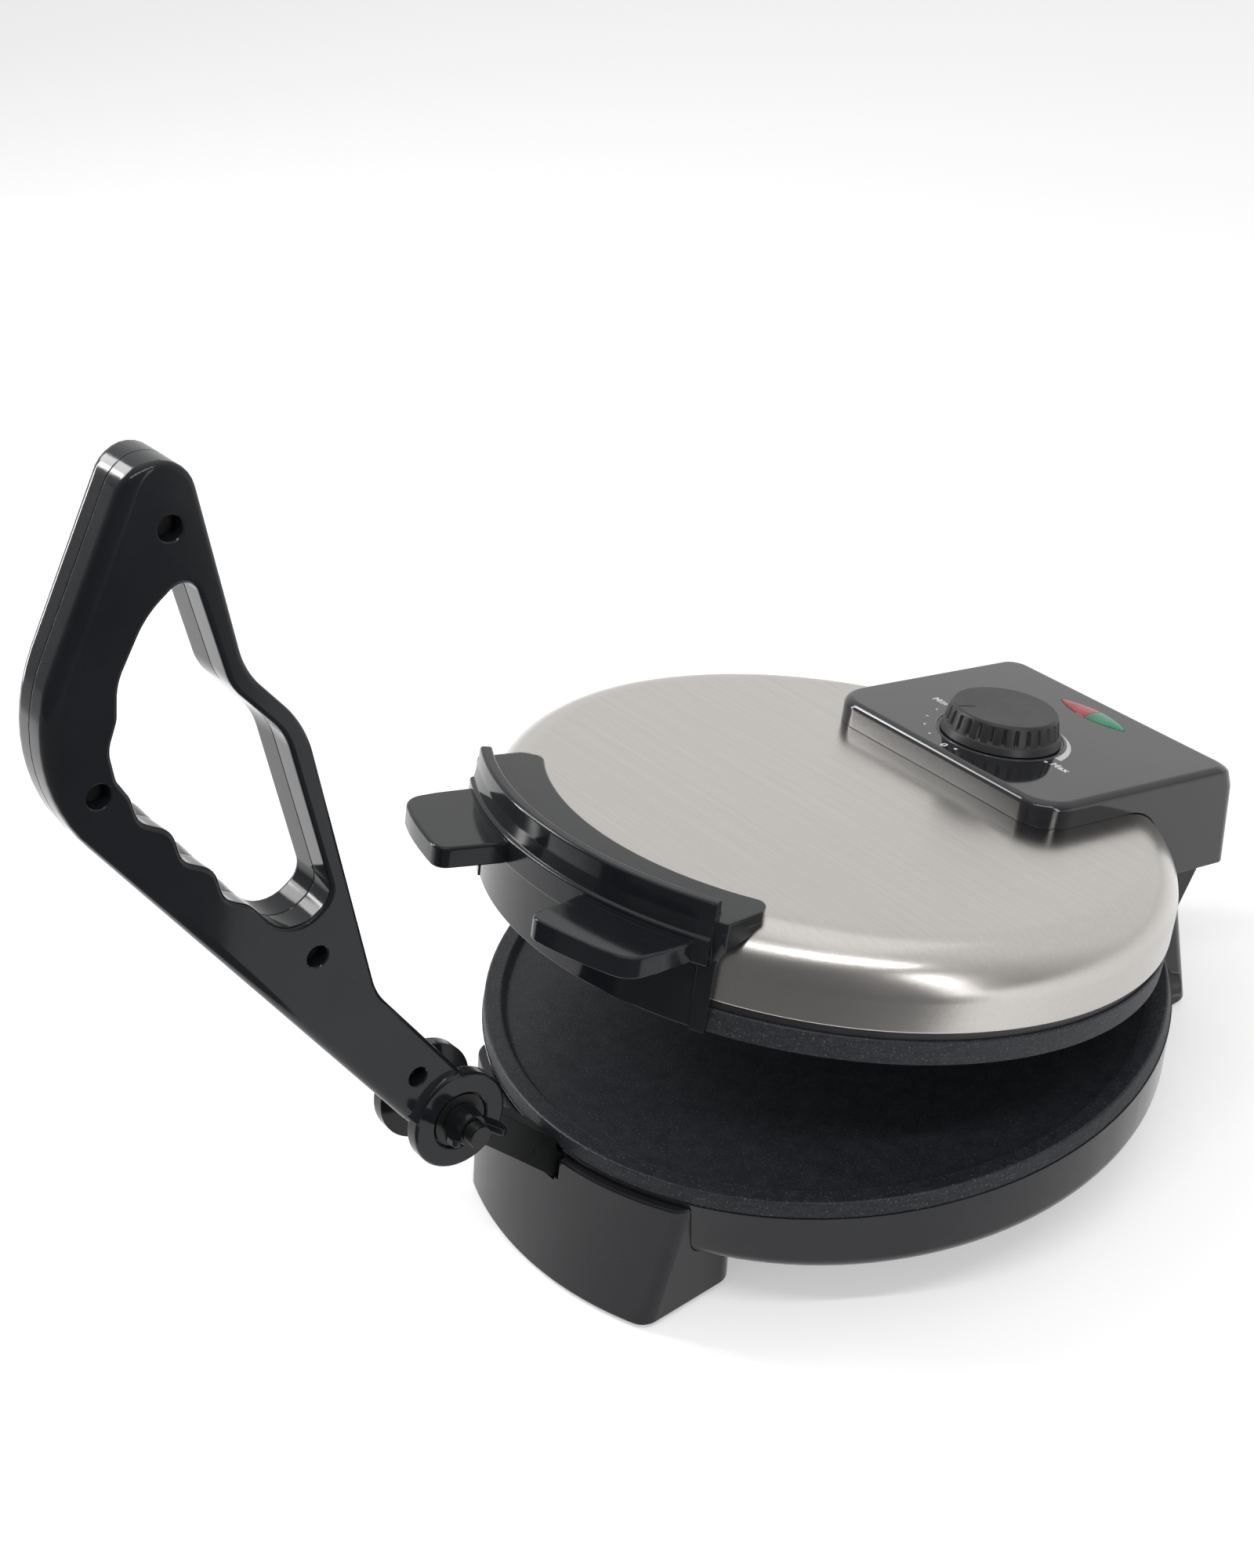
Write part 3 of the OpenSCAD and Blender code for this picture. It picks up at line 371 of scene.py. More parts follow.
def shaded(piece, angle, bevel=0.0, segments=2, bevel_angle=None):
    """Smooth shading up to an angle, with the flats kept flat, after an optional bevel of sharp edges."""
    bm = bmesh.new()
    bm.from_mesh(piece.data)
    bmesh.ops.remove_doubles(bm, verts=bm.verts, dist=0.06 * MM if bevel else 0.003 * MM)
    bmesh.ops.dissolve_degenerate(bm, edges=bm.edges, dist=0.01 * MM)
    bmesh.ops.dissolve_limit(bm, angle_limit=math.radians(0.6), verts=bm.verts, edges=bm.edges,
                             delimit=set())
    for face in bm.faces:
        face.smooth = True
    bm.to_mesh(piece.data)
    bm.free()
    if bevel:
        step = piece.modifiers.new("bevel", "BEVEL")
        step.width, step.segments = bevel, segments
        step.limit_method, step.angle_limit = "ANGLE", math.radians(bevel_angle or angle)
        step.use_clamp_overlap = True
        step.miter_outer = "MITER_ARC"
        apply_modifiers(piece)
    bm = bmesh.new()
    bm.from_mesh(piece.data)
    for face in bm.faces:
        face.smooth = True
    for edge in bm.edges:
        if len(edge.link_faces) == 2:
            edge.smooth = edge.calc_face_angle(0) < math.radians(angle)
    bm.to_mesh(piece.data)
    bm.free()
    step = piece.modifiers.new("weights", "WEIGHTED_NORMAL")
    step.mode, step.weight, step.keep_sharp = "FACE_AREA", 50, True
    apply_modifiers(piece)


def arc(x, y, r, start, end, steps):
    angles = [math.radians(start + (end - start) * k / steps) for k in range(steps + 1)]
    return [(x + r * math.cos(a), y + r * math.sin(a)) for a in angles]


def rounded(corners, steps=8):
    """A closed outline through corners (x, y, r), each rounded by its radius r."""
    outline = []
    for k, (x, y, r) in enumerate(corners):
        here = Vector((x, y))
        if r == 0:
            outline.append(tuple(here))
            continue
        to_last = (Vector(corners[k - 1][:2]) - here).normalized()
        to_next = (Vector(corners[(k + 1) % len(corners)][:2]) - here).normalized()
        turn = to_last.angle(to_next) / 2
        middle = here + (to_last + to_next).normalized() * r / math.sin(turn)
        cut = r / math.tan(turn)
        first, last = here + to_last * cut - middle, here + to_next * cut - middle
        start = math.atan2(first.y, first.x)
        swing = (math.atan2(last.y, last.x) - start + math.pi) % (2 * math.pi) - math.pi
        outline += [(middle.x + r * math.cos(start + swing * n / steps),
                     middle.y + r * math.sin(start + swing * n / steps)) for n in range(steps + 1)]
    return outline


def shifted(outline, distance):
    """A closed outline moved to the right of its travel, by one distance or one for each point."""
    points = [Vector(p) for p in outline]
    result = []
    for k, here in enumerate(points):
        a = (here - points[k - 1]).normalized()
        b = (points[(k + 1) % len(points)] - here).normalized()
        side = Vector((a.y + b.y, -a.x - b.x)).normalized()
        step = distance[k] if isinstance(distance, list) else distance
        result.append(tuple(here + side * step / max(side.dot(Vector((b.y, -b.x))), 0.4)))
    return result


def stacked(name, loops, levels, place=None):
    """A closed solid through outlines at the heights in levels.

    loops(k) gives the outlines of level k: first the outside, then any holes."""
    bm = bmesh.new()
    rows = [[[bm.verts.new((x * MM, y * MM, z * MM)) for x, y in outline] for outline in loops(k)]
            for k, z in enumerate(levels)]
    for below, above in zip(rows, rows[1:]):
        for low, high in zip(below, above):
            count = len(low)
            for k in range(count):
                bm.faces.new((low[k], low[(k + 1) % count], high[(k + 1) % count], high[k]))
    for row in (rows[0], rows[-1]):
        if len(row) == 1:
            bm.faces.new(row[0])
        else:
            edges = [bm.edges.get((ring[k - 1], ring[k])) for ring in row for k in range(len(ring))]
            bmesh.ops.triangle_fill(bm, use_beauty=True, use_dissolve=False, edges=edges)
    return new_piece(name, bm, place)


def box(name, x, y, z, place=None):
    """A tool with flat sides between the two values of x, of y and of z."""
    outline = ((x[0], y[0]), (x[1], y[0]), (x[1], y[1]), (x[0], y[1]))
    return stacked(name, lambda k: (outline,), z, place)


def bridged(bm, rows):
    """A closed solid through rows of points, with a face at each end."""
    for a, b in zip(rows, rows[1:]):
        for k in range(len(a)):
            bm.faces.new((a[k - 1], a[k], b[k], b[k - 1]))
    bm.faces.new(rows[0])
    bm.faces.new(rows[-1])


def lathe(name, profile, place, segments):
    """A closed solid from a profile (r, z) turned about Z; the profile may start and end on the axis."""
    bm = bmesh.new()
    rings = []
    for r, z in profile:
        count = segments if r > 1e-6 else 1
        rings.append([bm.verts.new((r * MM * math.cos(math.tau * k / count),
                                    r * MM * math.sin(math.tau * k / count), z * MM))
                      for k in range(count)])
    for a, b in zip(rings, rings[1:] + rings[:1]):
        if len(a) == len(b) == 1:
            continue
        for k in range(segments):
            n = (k + 1) % segments
            corners = [a[k % len(a)], a[n % len(a)], b[n % len(b)], b[k % len(b)]]
            bm.faces.new(list(dict.fromkeys(corners)))
    return new_piece(name, bm, place)


def lid_shifted(y, z=0):
    """LID with its origin moved back by y and up by z."""
    return LID @ Matrix.Translation((0, y * MM, z * MM))


def along_x(matrix, p=0.0, q=0.0):
    """Places a lathed piece so that its axis runs along X through the point [p, q] of matrix."""
    return matrix @ Matrix.Translation((0, p * MM, q * MM)) @ Matrix.Rotation(math.pi / 2, 4, "Y")


# Copies of CAD nodes with small rounds along their sharp edges
def make_soft_copy(node):
    piece = cad_copy("soft_" + node, node)
    shaded(piece, 35, 0.5 * MM, 3)
    finish_piece(piece, node, (node,))


for node in ("press_bracket", "base_bowl", "lower_plate", "upper_plate"):
    make_soft_copy(node)


# Steel cover: a shell with a rolled hem
def make_cover():
    r, top, shoulder = COVER_R, COVER_TOP, SHOULDER_R
    side, hem, sheet, roll, lip = top - shoulder, 12, 0.8, 0.9, 4
    profile = ([(0, top - sheet)] + arc(r - shoulder, side, shoulder - sheet, 90, 0, 20)
               + [(r - sheet, hem + sheet), (r - lip, hem + sheet), (r - lip, hem)]
               + arc(r - roll, hem + roll, roll, -90, 0, 5)
               + arc(r - shoulder, side, shoulder, 0, 90, 24) + [(60, top), (0, top)])
    piece = lathe("steel_cover", profile, LID, 240)
    shaded(piece, 40)
    finish_piece(piece, "lid_cover", ("lid_cover",))


make_cover()


# Shapes shared by several pieces
def front_point(r, degrees):
    """A point at radius r, turned by degrees from the front towards +X."""
    a = math.radians(degrees)
    return (r * math.sin(a), -r * math.cos(a))


def swept(name, profile, start, end, steps):
    """A closed profile (r, z) turned about Z from one angle to another, with closed ends."""
    bm = bmesh.new()
    rows = []
    for k in range(steps + 1):
        a = math.radians(start + (end - start) * k / steps)
        rows.append([bm.verts.new((r * MM * math.cos(a), r * MM * math.sin(a), z * MM)) for r, z in profile])
    bridged(bm, rows)
    return new_piece(name, bm)


def slab(name, outline, low, high, under, over, place=None, turn=1):
    """An outline, or one for each height z, between two heights, with rounded lower and upper edges."""
    quarter = [math.radians(18 * k) for k in range(6)]
    lower = [(low + under * (1 - math.sin(a)), under * (1 - math.cos(a))) for a in reversed(quarter)]
    upper = [(high - over * (1 - math.sin(a)), over * (1 - math.cos(a))) for a in quarter]
    levels = (lower if under else [(low, 0)]) + (upper if over else [(high, 0)])
    plan = outline if callable(outline) else lambda z: outline

    def loops(k):
        z, inset = levels[k]
        return (shifted(plan(z), -turn * inset),)
    return stacked(name, loops, [z for z, _ in levels], place)


def cover_space(name, place):
    """Space of the steel cover, grown a little, that the mouldings on it keep clear of."""
    grown = 0.3
    shoulder = arc(COVER_R - SHOULDER_R, COVER_TOP - SHOULDER_R, SHOULDER_R + grown, 0, 79.5, 14)
    return lathe(name, [(0, -8), (COVER_R + grown, -8)] + shoulder + [(0, COVER_TOP)], place, 180)


# Foot blocks: their CAD shape inside an outer form with rounded edges, a little inside the CAD's sides
FOOT_Z = -55
FRONT_BLOCK_TOP = -5
REAR_BLOCK_TOP = -8
BLOCK_IN = 91.6
BLOCK_ROUND = 7
BLOCK_INSET = 0.12


def front_block_plan(z):
    """The front block's outline at height z: wider and less deep towards its top."""
    up = (z - FOOT_Z) / (FRONT_BLOCK_TOP - FOOT_Z)
    w, r = (109 + 16 * up) / 2 - BLOCK_INSET, 143.5 - 10.1 * up - BLOCK_INSET
    widest = math.degrees(math.asin(w / r))
    inner = -BLOCK_IN - BLOCK_INSET
    front = [(*front_point(r, (widest - 3) * (1 - k / 12)), 0) for k in range(25)]
    return rounded([(-w, inner, BLOCK_ROUND), (w, inner, BLOCK_ROUND), (*front_point(r, widest), BLOCK_ROUND)]
                   + front + [(*front_point(r, -widest), BLOCK_ROUND)])


def rear_block_plan(z):
    """The rear block's outline at height z, with a back that leans in."""
    w, back = 53 - BLOCK_INSET, 149 - 6 * (z - FOOT_Z) / (REAR_BLOCK_TOP - FOOT_Z) - BLOCK_INSET
    inner = BLOCK_IN + BLOCK_INSET
    return rounded([(x, y, BLOCK_ROUND) for x, y in ((-w, inner), (w, inner), (w, back), (-w, back))])


def make_blocks():
    clear, under, over, ear_half = 0.02, 0.6, 0.9, 6.05
    low = FOOT_Z + clear
    front = slab("outer", front_block_plan, low, FRONT_BLOCK_TOP - clear, under, over, turn=-1)
    rear = slab("outer", rear_block_plan, low, REAR_BLOCK_TOP - clear, under, over)
    for x in (-EAR_X, EAR_X):
        combined(rear, box("ear", (x - ear_half, x + ear_half), (120, 180), (-50, 40)), operation="UNION")
    for name, node, outer in (("foot_block", "front_foot_block", front),
                              ("hinge_block", "rear_hinge_block", rear)):
        piece = cad_copy(name, node)
        combined(piece, outer, operation="INTERSECT")
        shaded(piece, 38)
        finish_piece(piece, node, (node,))


make_blocks()

# Front pad: skirt, root and press rib in one sweep, with the flange, two tabs and two end walls
PAD_HALF = 30
FLANGE_IN = 109.5
FLANGE_OUT = 134
FLANGE_TOP = 44
TAB_REACH = 162


def flange_outline():
    turns = range(-PAD_HALF, PAD_HALF + 1, 3)
    inner = [(*front_point(FLANGE_IN, a), 0) for a in turns]
    outer = [(*front_point(FLANGE_OUT, a), 0) for a in turns[-2:0:-1]]
    end = [(*front_point(FLANGE_IN, PAD_HALF + 5), 4), (*front_point(118, PAD_HALF + 5.4), 2.5),
           (*front_point(FLANGE_OUT, PAD_HALF + 2), 2)]
    far_end = [(-x, y, r) for x, y, r in reversed(end)]
    return rounded(far_end[-1:] + inner + end + outer + far_end[:-1], 6)[::-1]


def tab_outline(side):
    corners = [(20.4, -131, 0), (21, -136, 0), (26, -159.9, 5)]
    corners += [(*front_point(TAB_REACH, a), 0) for a in (12.4, 15, 17, 19)]
    corners += [(*front_point(TAB_REACH - 0.4, 24), 10), (*front_point(149, 26), 20),
                (*front_point(129, 29), 0), (*front_point(128, 16), 0)]
    outline = rounded([(side * x, y, r) for x, y, r in corners], 8)
    return outline if side > 0 else outline[::-1]


def end_wall(side):
    """Wall across one end of the pad, which flares out to carry the flange."""
    low, top = 1.1, FLANGE_TOP - 0.1
    profile = ([(-2, low), (3.4, low), (4, 20.7)] + arc(17.5, 24, 13.5, 176, 96, 12)
               + [(21, 39.5), (21, top), (-2, top)])
    place = (Matrix.Rotation(math.radians(-90 + side * (PAD_HALF - 1.13)), 4, "Z")
             @ Matrix(((0, 0, 1, 0), (side, 0, 0, 0), (0, 1, 0, 0), (0, 0, 0, 1))))
    wall = stacked("wall", lambda k: (profile,), [113.5, FLANGE_OUT], place)
    band = [(112.5, -5), (129.9, -5), (130.7, 24), (131.2, 28.5), (FLANGE_OUT + 0.1, 38),
            (FLANGE_OUT + 0.1, FLANGE_TOP), (112.5, FLANGE_TOP)]
    limit = swept("limit", band, -135, -45, 60)
    plan = stacked("plan", lambda k: (shifted(flange_outline(), -0.2),), [-6, 45])
    return combined(wall, limit, plan, operation="INTERSECT")


def make_pad():
    root, skirt_low, rib_top = 124, 1.5, 50
    skirt = [(root, skirt_low, 0), (129.6, skirt_low, 0.7), (130.3, 27.6, 2)]
    step = [(136.3, 28.2, 0.9), (136.1, 37.5, 0.9), (134.9, 38.1, 0.5), (134, 43, 9)]
    rib = [(133.6, rib_top, 1.2), (129.3, rib_top, 1.2), (128.6, FLANGE_TOP, 2.5), (root, FLANGE_TOP, 0)]
    pad = swept("press_pad", rounded(skirt + step + rib, 6), -90 - PAD_HALF, -90 + PAD_HALF, 60)
    parts = [end_wall(side) for side in (-1, 1)]
    parts += [slab("tab", tab_outline(side), 28, 36, 0.9, 1.1) for side in (-1, 1)]
    parts += [slab("flange", flange_outline(), 40, FLANGE_TOP - 0.02, 0, 1.1)]
    combined(pad, *parts, operation="UNION")
    combined(pad, cover_space("steel", Matrix.Identity(4)))
    pad.data.transform(LID)
    shaded(pad, 38)
    finish_piece(pad, "front_pad", ("front_pad",))


make_pad()

# Lever: the outline of its arm, its hub and the finger opening, as (p, q)
LEVER_CORNERS = ((-12, 0, 0), (-12.5, 223.5, 57), (96.3, 278.6, 12), (55.2, 191.3, 30),
                 (57, 161.8, 40), (12.5, 66, 25), (12.5, 0, 0))
HOLE_CORNERS = ((5.9, 107.8, 13), (26, 107.8, 8), (51, 165, 25), (49.2, 191.4, 20), (65.2, 230.2, 6),
                (46, 230.2, 30), (27, 222, 20), (19.5, 213.6, 10), (11.5, 208.6, 12), (6.4, 199, 8))
LEVER_SCREWS = ((68, 244, 3.9), (0.4, 200.5, 3.9), (8.5, 96.6, 3.7), (1.4, 27, 3.4))
HALF_T = 11
HUB_R = 18
HUB_HALF = 13.6
SLOT_HALF = 8.3
SEAT_R = 10.44
EDGE_SMALL = 1.7
EDGE_WIDE = 5.6
TURN_AXIS = along_x(Matrix.Identity(4))


def lever_outline():
    arm = rounded(LEVER_CORNERS, 12)[1:-1]
    return arm + arc(0, 0, HUB_R - 0.3, 46, -228, 60)


def lever_hole():
    waves, steps, pitch, top = 3, 48, 21.7, 194
    grip = [(4.4 + 1.6 * math.cos(k * waves / steps * math.tau), top - k * waves * pitch / steps)
            for k in range(steps + 1)]
    return rounded(HOLE_CORNERS, 8) + grip


def lever_edges(outline):
    """Radius of the outer edge at each point: wide along the back and the top of the grip."""
    edges = []
    for k, here in enumerate(outline):
        before, after = Vector(outline[k - 1]), Vector(outline[(k + 1) % len(outline)])
        along = (after - before).normalized()
        backward = min(max((0.4 + along.y) / 0.6, 0), 1)
        high = min(max((here[1] - 80) / 90, 0), 1)
        edges.append(EDGE_SMALL + (EDGE_WIDE - EDGE_SMALL) * backward * high * high * (3 - 2 * high))
    near = range(-3, 4)
    return [sum(edges[(k + n) % len(edges)] for n in near) / len(near) for k in range(len(edges))]


def rounding(z, edge):
    """How far a round of radius edge has drawn in at height z."""
    up = min(max((z - HALF_T + edge) / edge, 0), 1)
    return edge * (1 - math.sqrt(1 - up * up))


def make_neck(outline, flip):
    """Hollow round where the hub rises from the arm, kept near the arm's outline."""
    r = 2.6
    profile = ([(HUB_R - 2, HALF_T - 1), (HUB_R + 3, HALF_T - 1)]
               + arc(HUB_R + r, HALF_T + r, r, -90, -180, 8)[1:] + [(HUB_R - 2, HALF_T + r)])
    neck = lathe("fillet", profile, TURN_AXIS, 128)
    guard = stacked("guard", lambda k: (shifted(outline, 1.2),), [HALF_T - 2, HALF_T + 4], flip)
    return combined(neck, guard, operation="INTERSECT")


def make_cheek():
    """The hub's outer disc."""
    edge = 1.2
    profile = ([(0, SLOT_HALF + 0.02), (HUB_R, SLOT_HALF + 0.02)]
               + arc(HUB_R - edge, HUB_HALF - edge, edge, 0, 90, 5) + [(0, HUB_HALF)])
    return lathe("cheek", profile, TURN_AXIS, 128)


def make_screw_recess(p, q, r):
    sink = 0.5
    profile = [(0, 3), (r, 3), (r, HALF_T - 0.4), (r + sink, HALF_T + 0.1), (r + sink, 20), (0, 20)]
    return lathe("recess", profile, along_x(Matrix.Identity(4), p, q), 48)


def make_lever_half(name, node, side):
    outline, hole = lever_outline(), lever_hole()
    edges, seam, hole_edge, draft = lever_edges(outline), 0.25, 1.5, 0.5
    levels = [0, seam] + [HALF_T - EDGE_WIDE * (1 - math.sin(math.radians(9 * k))) for k in range(11)]

    def outlines(k):
        z = levels[k]
        if k == 0:
            return shifted(outline, seam), shifted(hole, seam)
        return (shifted(outline, [rounding(z, edge) for edge in edges]),
                shifted(hole, rounding(z, hole_edge) - draft * (z - seam) / HALF_T))
    flip = Matrix.Rotation(math.pi / 2, 4, "Y") @ Matrix.Rotation(math.pi / 2, 4, "Z")
    half = stacked(name, outlines, levels, flip)
    slot_r, bore_r, seat_lip = HUB_R + 2, 4.05, 0.7
    combined(half, lathe("slot", [(0, -1), (slot_r, -1), (slot_r, SLOT_HALF), (0, SLOT_HALF)],
                         TURN_AXIS, 96))
    combined(half, make_neck(outline, flip), make_cheek(), operation="UNION")
    seat = [(0, 11.6), (SEAT_R, 11.6), (SEAT_R, HUB_HALF - 0.5), (SEAT_R + seat_lip, HUB_HALF + 0.2),
            (SEAT_R + seat_lip, 30), (0, 30)]
    tools = [lathe("seat", seat, TURN_AXIS, 120),
             lathe("bore", [(0, 0), (bore_r, 0), (bore_r, 29), (0, 29)], TURN_AXIS, 40)]
    if side > 0:
        tools += [make_screw_recess(p, q, r) for p, q, r in LEVER_SCREWS]
    combined(half, *tools)
    half.data.transform(LEVER @ Matrix.Diagonal((side, 1, 1, 1)))
    if side < 0:
        half.data.flip_normals()
    shaded(half, 38)
    finish_piece(half, node, (node,))


make_lever_half("grip_right", "lever_right_half", 1)
make_lever_half("grip_left", "lever_left_half", -1)


# Wing nut: a small collar with two wings that flare outward, in outlines of (x, r)
def make_wing_nut():
    start, bore, foot, reach, wing_half = 13.2, 4.15, 4.9, 11.2, 1.3
    end = start + 7.5
    collar = [(bore, start), (6.6, start), (6.8, start + 0.3), (5.9, end - 0.6), (5.5, end), (bore, end)]
    nut = lathe("wing_nut_detail", collar, along_x(Matrix.Translation(PIVOT)), 64)
    wing = rounded([(start + 1, foot, 0), (start + 1.5, 7.8, 0.6), (start + 8, reach, 2.5),
                    (start + 12.4, reach - 0.2, 1.4), (start + 13, reach - 2.8, 1),
                    (start + 6.4, foot, 0)], 5)[::-1]
    for turn in (-16, 164):
        place = Matrix.Translation(PIVOT) @ Matrix.Rotation(math.radians(turn), 4, "X")
        combined(nut, slab("wing", wing, -wing_half, wing_half, 0.5, 0.5, place), operation="UNION")
    shaded(nut, 40)
    finish_piece(nut, "wing_nut", ("wing_nut",), MATERIALS["gloss_black_plastic"])


make_wing_nut()


# Thread on the end of the pivot bolt, as a row of ridges
def make_thread():
    start, end, core, crest, pitch = 20.9, 25.3, 3.97, 4.25, 1.0
    profile = [(core - 0.4, start)]
    for k in range(int((end - start) / pitch)):
        profile += [(core, start + pitch * (k + 0.1)), (crest, start + pitch * (k + 0.4)),
                    (crest, start + pitch * (k + 0.6)), (core, start + pitch * (k + 0.9))]
    profile += [(core - 0.4, end)]
    thread = lathe("bolt_thread", profile, along_x(Matrix.Translation(PIVOT)), 48)
    shaded(thread, 25)
    finish_piece(thread, "pivot_bolt")


make_thread()


# Control housing: a hood with rounded top edges, open underneath
def rounded_box(front, back, width, r, back_r):
    w = width / 2
    return rounded(((-w, front, r), (w, front, r), (w, back, back_r), (-w, back, back_r)), 10)


def housing_stack(name, inset):
    """The hood's outer form, or, with an inset, the space inside its walls."""
    top, low, edge = HOUSING_TOP, 9, 3
    levels = [(low - (1 if inset else 0), 0, 0), (top - 9, 3.9, 0), (top - edge, 7, 0)]
    for a in (math.radians(15 * k) for k in range(1, 7)):
        levels.append((top - edge + edge * math.sin(a),
                       7 + 3.2 * (math.sin(a) + 1 - math.cos(a)), edge * (1 - math.cos(a))))

    def outlines(k):
        z, rear, side = levels[k]
        r = (12 if k == 0 else 14) - side * 0.6 - inset
        return (rounded_box(46 + inset + side, 159.4 - rear - inset, 118 - 2 * (inset + side), r, r - 6.5),)
    return stacked(name, outlines, [z - (inset if z > low else 0) for z, _, _ in levels], LID)


LENS_R = 31
LENS_MIDDLE = 25.8


def lens_hole_outline():
    r = LENS_R + 0.15
    tip = math.degrees(math.acos(LENS_MIDDLE / r))
    return (arc(0, LENS_MIDDLE, r, -90 - tip, -90 + tip, 24)[:-1]
            + arc(0, -LENS_MIDDLE, r, 90 - tip, 90 + tip, 24)[:-1])


def make_housing():
    wall, low, high, shaft_r, slot_half = 3, 44, 55, 5, 7.5
    at_lens, at_knob = lid_shifted(LENS_Y), lid_shifted(KNOB_Y)
    hood = housing_stack("control_hood", 0)
    combined(hood, housing_stack("inside", wall), cover_space("steel", LID))
    combined(hood, stacked("lens_hole", lambda k: (lens_hole_outline(),), [low, high], at_lens),
             lathe("shaft_hole", [(0, low), (shaft_r, low), (shaft_r, high), (0, high)], at_knob, 48))
    for x in (-EAR_X, EAR_X):
        combined(hood, box("ear_slot", (x - slot_half, x + slot_half), (HINGE_Y, 178), (4, 26.4), LID))
    lip = [(24.3, 50.9), (25.2, 50.9), (25.2, 51.2), (25, 51.4), (24.5, 51.4), (24.3, 51.2)]
    combined(hood, lathe("knob_lip", lip, at_knob, 120), operation="UNION")
    shaded(hood, 38, 0.25 * MM, 2, 60)
    finish_piece(hood, "control_housing", ("control_housing",), HOOD_BLACK)


make_housing()


# Knob: a plain skirt, a fluted grip and an engraved pointer
def make_knob():
    flutes, steps, flute_depth, flute_half = 28, 10, 0.95, 0.22
    count = flutes * steps
    grip_top, grip_r, edge = 9.6, 20.7, 1.4
    # Height, radius and share of the flutes' depth
    rows = [(0, 23.5, 0), (2.7, 22.7, 0), (3.0, 22.4, 0), (3.1, 22.1, 0), (3.5, 22.0, 0.6), (4.2, 21.9, 1),
            (8.6, 21.0, 1), (9.2, 20.85, 0.6), (grip_top, grip_r, 0)]
    rows += [(grip_top + edge * math.sin(a), grip_r - edge * (1 - math.cos(a)), 0)
             for a in (math.radians(18 * k) for k in range(1, 6))]

    def ring(k):
        _, r, share = rows[k]
        points = []
        for n in range(count):
            dip = max(0.0, 1 - abs((n % steps) / steps - 0.5) / flute_half)
            depth = flute_depth * share * (dip * dip * (3 - 2 * dip))
            a = math.tau * n / count
            points.append(((r - depth) * math.cos(a), (r - depth) * math.sin(a)))
        return (points,)
    place = lid_shifted(KNOB_Y, HOUSING_TOP + 0.5)
    knob = stacked("dial_knob", ring, [height for height, _, _ in rows], place)
    turn = Matrix.Rotation(math.radians(-113), 4, "Z")
    combined(knob, box("mark", (12.5, 19.5), (-0.35, 0.35), (10.3, 12), place @ turn))
    shaded(knob, 38)
    finish_piece(knob, "control_knob", ("control_knob",))


make_knob()


# Lamp lenses: domed halves of a pointed oval
def make_lens(name, node, side):
    long, across, least = 24, 8, 0.02
    seam, depth, crown = 0.1, 3.1, 0.95
    tip = math.sqrt(LENS_R * LENS_R - LENS_MIDDLE * LENS_MIDDLE)
    bm = bmesh.new()
    rows = []
    for k in range(long + 1):
        x = seam + (tip - seam) * math.sin(math.pi / 2 * k / long)
        half = max(math.sqrt(LENS_R * LENS_R - x * x) - LENS_MIDDLE, least)
        height = crown * math.sqrt(max(1 - (x / tip) ** 2, 0)) + least
        turns = [math.pi / 2 * t / across for t in range(-across, across + 1)]
        ring = [(half, -depth), (-half, -depth)] + [(half * math.sin(a), height * math.cos(a)) for a in turns]
        rows.append([bm.verts.new((side * x * MM, y * MM, z * MM)) for y, z in ring])
    bridged(bm, rows)
    lens = new_piece(name, bm, lid_shifted(LENS_Y, HOUSING_TOP))
    shaded(lens, 50)
    finish_piece(lens, node, (node,))


make_lens("lamp_lens_red", "red_lens", -1)
make_lens("lamp_lens_green", "green_lens", 1)


# White print round the knob, in the lid's plan
PRINT_T = 0.04
LETTER = 4.6


def print_flat(name, outline):
    return stacked(name, lambda k: (outline,), [HOUSING_TOP - 0.02, HOUSING_TOP + PRINT_T], LID)


def print_word(name, text, x, y):
    font = bpy.data.curves.new(name, "FONT")
    font.body, font.size, font.extrude = text, LETTER * MM, PRINT_T / 2 * MM
    font.align_x, font.align_y, font.offset = "CENTER", "CENTER", 0.12 * MM
    font.space_character = 1.12
    holder = bpy.data.objects.new(name, font)
    scene.collection.objects.link(holder)
    mesh = mesh_now(holder)
    bpy.data.objects.remove(holder)
    mesh.transform(LID @ Matrix.Translation((x * MM, y * MM, (HOUSING_TOP + PRINT_T / 2) * MM)))
    word = bpy.data.objects.new(name, mesh)
    scene.collection.objects.link(word)
    return word


def crescent_outline():
    """An arc beside the knob that thins out from its start to its end."""
    r, widest, start, sweep, steps = 25.75, 2.9, 8, 66, 30
    inner = arc(0, KNOB_Y, r - 0.05, start + sweep, start, steps)
    outer = []
    for k in range(steps + 1):
        a, reach = math.radians(start + sweep * k / steps), r + widest * (steps - k) / steps
        outer.append((reach * math.cos(a), KNOB_Y + reach * math.sin(a)))
    return inner + outer


def make_print():
    parts = [print_word("min", "Min", -34, 82), print_word("max", "Max", 32.8, 79.8),
             print_word("zero", "0", -0.8, 51.3)]
    dots = [(3.9, 53.0, 0.75), (26.6, 78.6, 0.75)]
    ring, dot_r = 29.2, 0.5
    for a in (math.radians(turn) for turn in (-113, -131, -149, -167)):
        dots.append((ring * math.cos(a), KNOB_Y + ring * math.sin(a), dot_r))
    parts += [print_flat("dot", arc(x, y, r, 0, 345, 23)) for x, y, r in dots]
    parts.append(print_flat("crescent", crescent_outline()))
    bm = bmesh.new()
    for part in parts:
        bm.from_mesh(part.data)
        bpy.data.objects.remove(part)
    bmesh.ops.remove_doubles(bm, verts=bm.verts, dist=0.001 * MM)
    piece = new_piece("dial_print", bm)
    finish_piece(piece, "control_housing", (), INK)


make_print()


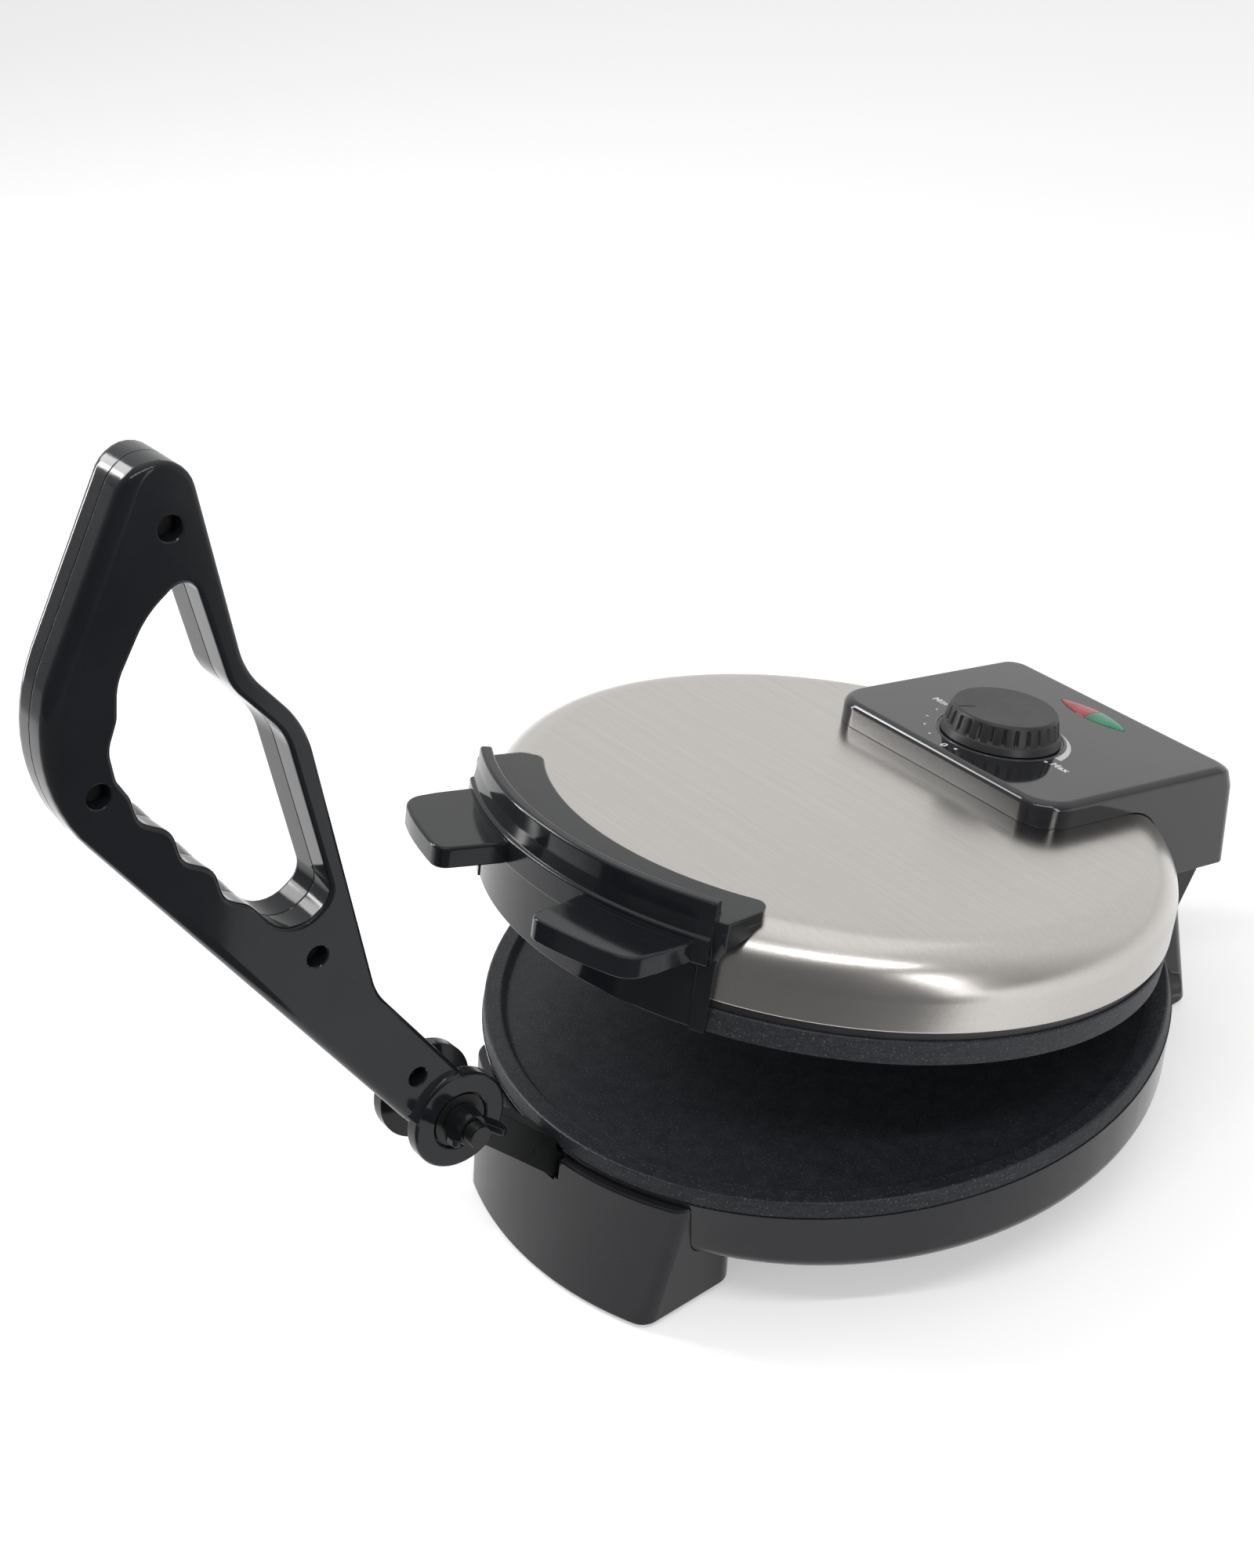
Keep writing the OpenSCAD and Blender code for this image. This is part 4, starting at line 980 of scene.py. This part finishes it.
# Floor, world and lamps
def seen_by(n, *rays):
    """1 on the rays named, and 0 on all others."""
    path = n.add("ShaderNodeLightPath")
    seen = path.outputs[rays[0]]
    for ray in rays[1:]:
        seen = math_of(n, "MAXIMUM", seen, path.outputs[ray])
    return seen


def make_floor():
    """A pale floor that keeps the object's shadow and looks white where it is lit."""
    n, place = started("floor")
    seen = seen_by(n, "Is Camera Ray", "Is Glossy Ray", "Is Transmission Ray")
    diffuse = n.add("ShaderNodeBsdfDiffuse", {
        "Color": mixed(n, noise(n, place, 3), (0.8, 0.8, 0.805), (0.82, 0.82, 0.825))})
    glow = n.add("ShaderNodeEmission", {"Color": (1, 1, 1, 1), "Strength": range_of(n, seen, 0, 0.38)})
    both = n.add("ShaderNodeAddShader", {0: diffuse.outputs["BSDF"], 1: glow.outputs["Emission"]})
    n.add("ShaderNodeOutputMaterial", {"Surface": both.outputs["Shader"]})
    bm = bmesh.new()
    bmesh.ops.create_circle(bm, cap_ends=True, segments=96, radius=4)
    floor = new_piece("floor", bm)
    floor.data.materials.append(n.owner)
    floor.location.z = (TABLE_Z - 0.05) * MM


def make_world():
    """White to the camera, even as light, and in reflections brightest behind the object."""
    n = Nodes(bpy.data.worlds.new("world"))
    way = n.add("ShaderNodeTexCoord").outputs["Generated"]
    bright_side = (-0.5, 0.75, 0.43)
    behind = n.add("ShaderNodeVectorMath", {0: way, 1: bright_side}, operation="DOT_PRODUCT")
    studio = range_of(n, behind.outputs["Value"], 0.05, 1.0, -0.55, 0.6)
    lit = n.add("ShaderNodeMix", {"Factor": seen_by(n, "Is Glossy Ray"), "A": 0.48, "B": studio})
    seen = seen_by(n, "Is Camera Ray", "Is Transmission Ray")
    strength = n.add("ShaderNodeMix", {"Factor": seen, "A": lit.outputs["Result"], "B": 1.0})
    shader = n.add("ShaderNodeBackground", {"Color": (1, 1, 1, 1), "Strength": strength.outputs["Result"]})
    n.add("ShaderNodeOutputWorld", {"Surface": shader.outputs["Background"]})
    scene.world = n.owner


def make_flag():
    """A grey card with soft edges beside the camera, which only reflections see."""
    n, place = started("flag")
    near = n.add("ShaderNodeVectorMath", {0: place}, operation="LENGTH").outputs["Value"]
    dark, light = (0.16, 0.16, 0.165), (0.2, 0.2, 0.205)
    grey = n.add("ShaderNodeEmission", {"Color": mixed(n, noise(n, place, 4), dark, light)})
    clear = n.add("ShaderNodeBsdfTransparent")
    both = n.add("ShaderNodeMixShader", {0: range_of(n, near, 1, 0, 0.24, 0.42),
                                         1: clear.outputs["BSDF"], 2: grey.outputs["Emission"]})
    n.add("ShaderNodeOutputMaterial", {"Surface": both.outputs["Shader"]})
    turn, away, half, low, high = math.radians(35), 0.26, 0.42, -0.06, 0.45
    bm = bmesh.new()
    corners = ((-half, 0, low), (half, 0, low), (half, 0, high), (-half, 0, high))
    bm.faces.new([bm.verts.new(corner) for corner in corners])
    flag = new_piece("flag", bm)
    flag.data.materials.append(n.owner)
    flag.matrix_world = (Matrix.Translation((away * math.sin(turn), -away * math.cos(turn), 0.01))
                         @ Matrix.Rotation(turn, 4, "Z"))
    flag.visible_camera = flag.visible_diffuse = flag.visible_transmission = flag.visible_shadow = False


def make_lamp(name, place, target, size, power):
    data = bpy.data.lights.new(name, "AREA")
    data.shape = "RECTANGLE"
    data.size, data.size_y = size
    data.energy = power
    lamp = bpy.data.objects.new(name, data)
    lamp.location = place
    lamp.rotation_euler = (Vector(target) - Vector(place)).to_track_quat("-Z", "Y").to_euler()
    lamp.visible_camera = False
    scene.collection.objects.link(lamp)


make_floor()
make_world()
make_flag()
make_lamp("left_strip", (-0.95, -0.62, 0.45), (0, -0.12, 0.08), (0.09, 0.9), 5)
make_lamp("right_strip", (1.15, -0.05, 0.3), (0, 0, 0), (0.22, 0.9), 4)
make_lamp("front_bar", (0.56, -0.4, 1.15), (0, 0, 0), (1.3, 0.05), 5.5)
make_lamp("left_softbox", (-0.85, -0.5, 0.9), (0, -0.1, 0.05), (0.5, 0.3), 5)
make_lamp("top_softbox", (-0.2, 0.3, 1.5), (0, 0, 0), (1.4, 1.4), 2)

scene.view_settings.view_transform = "Standard"
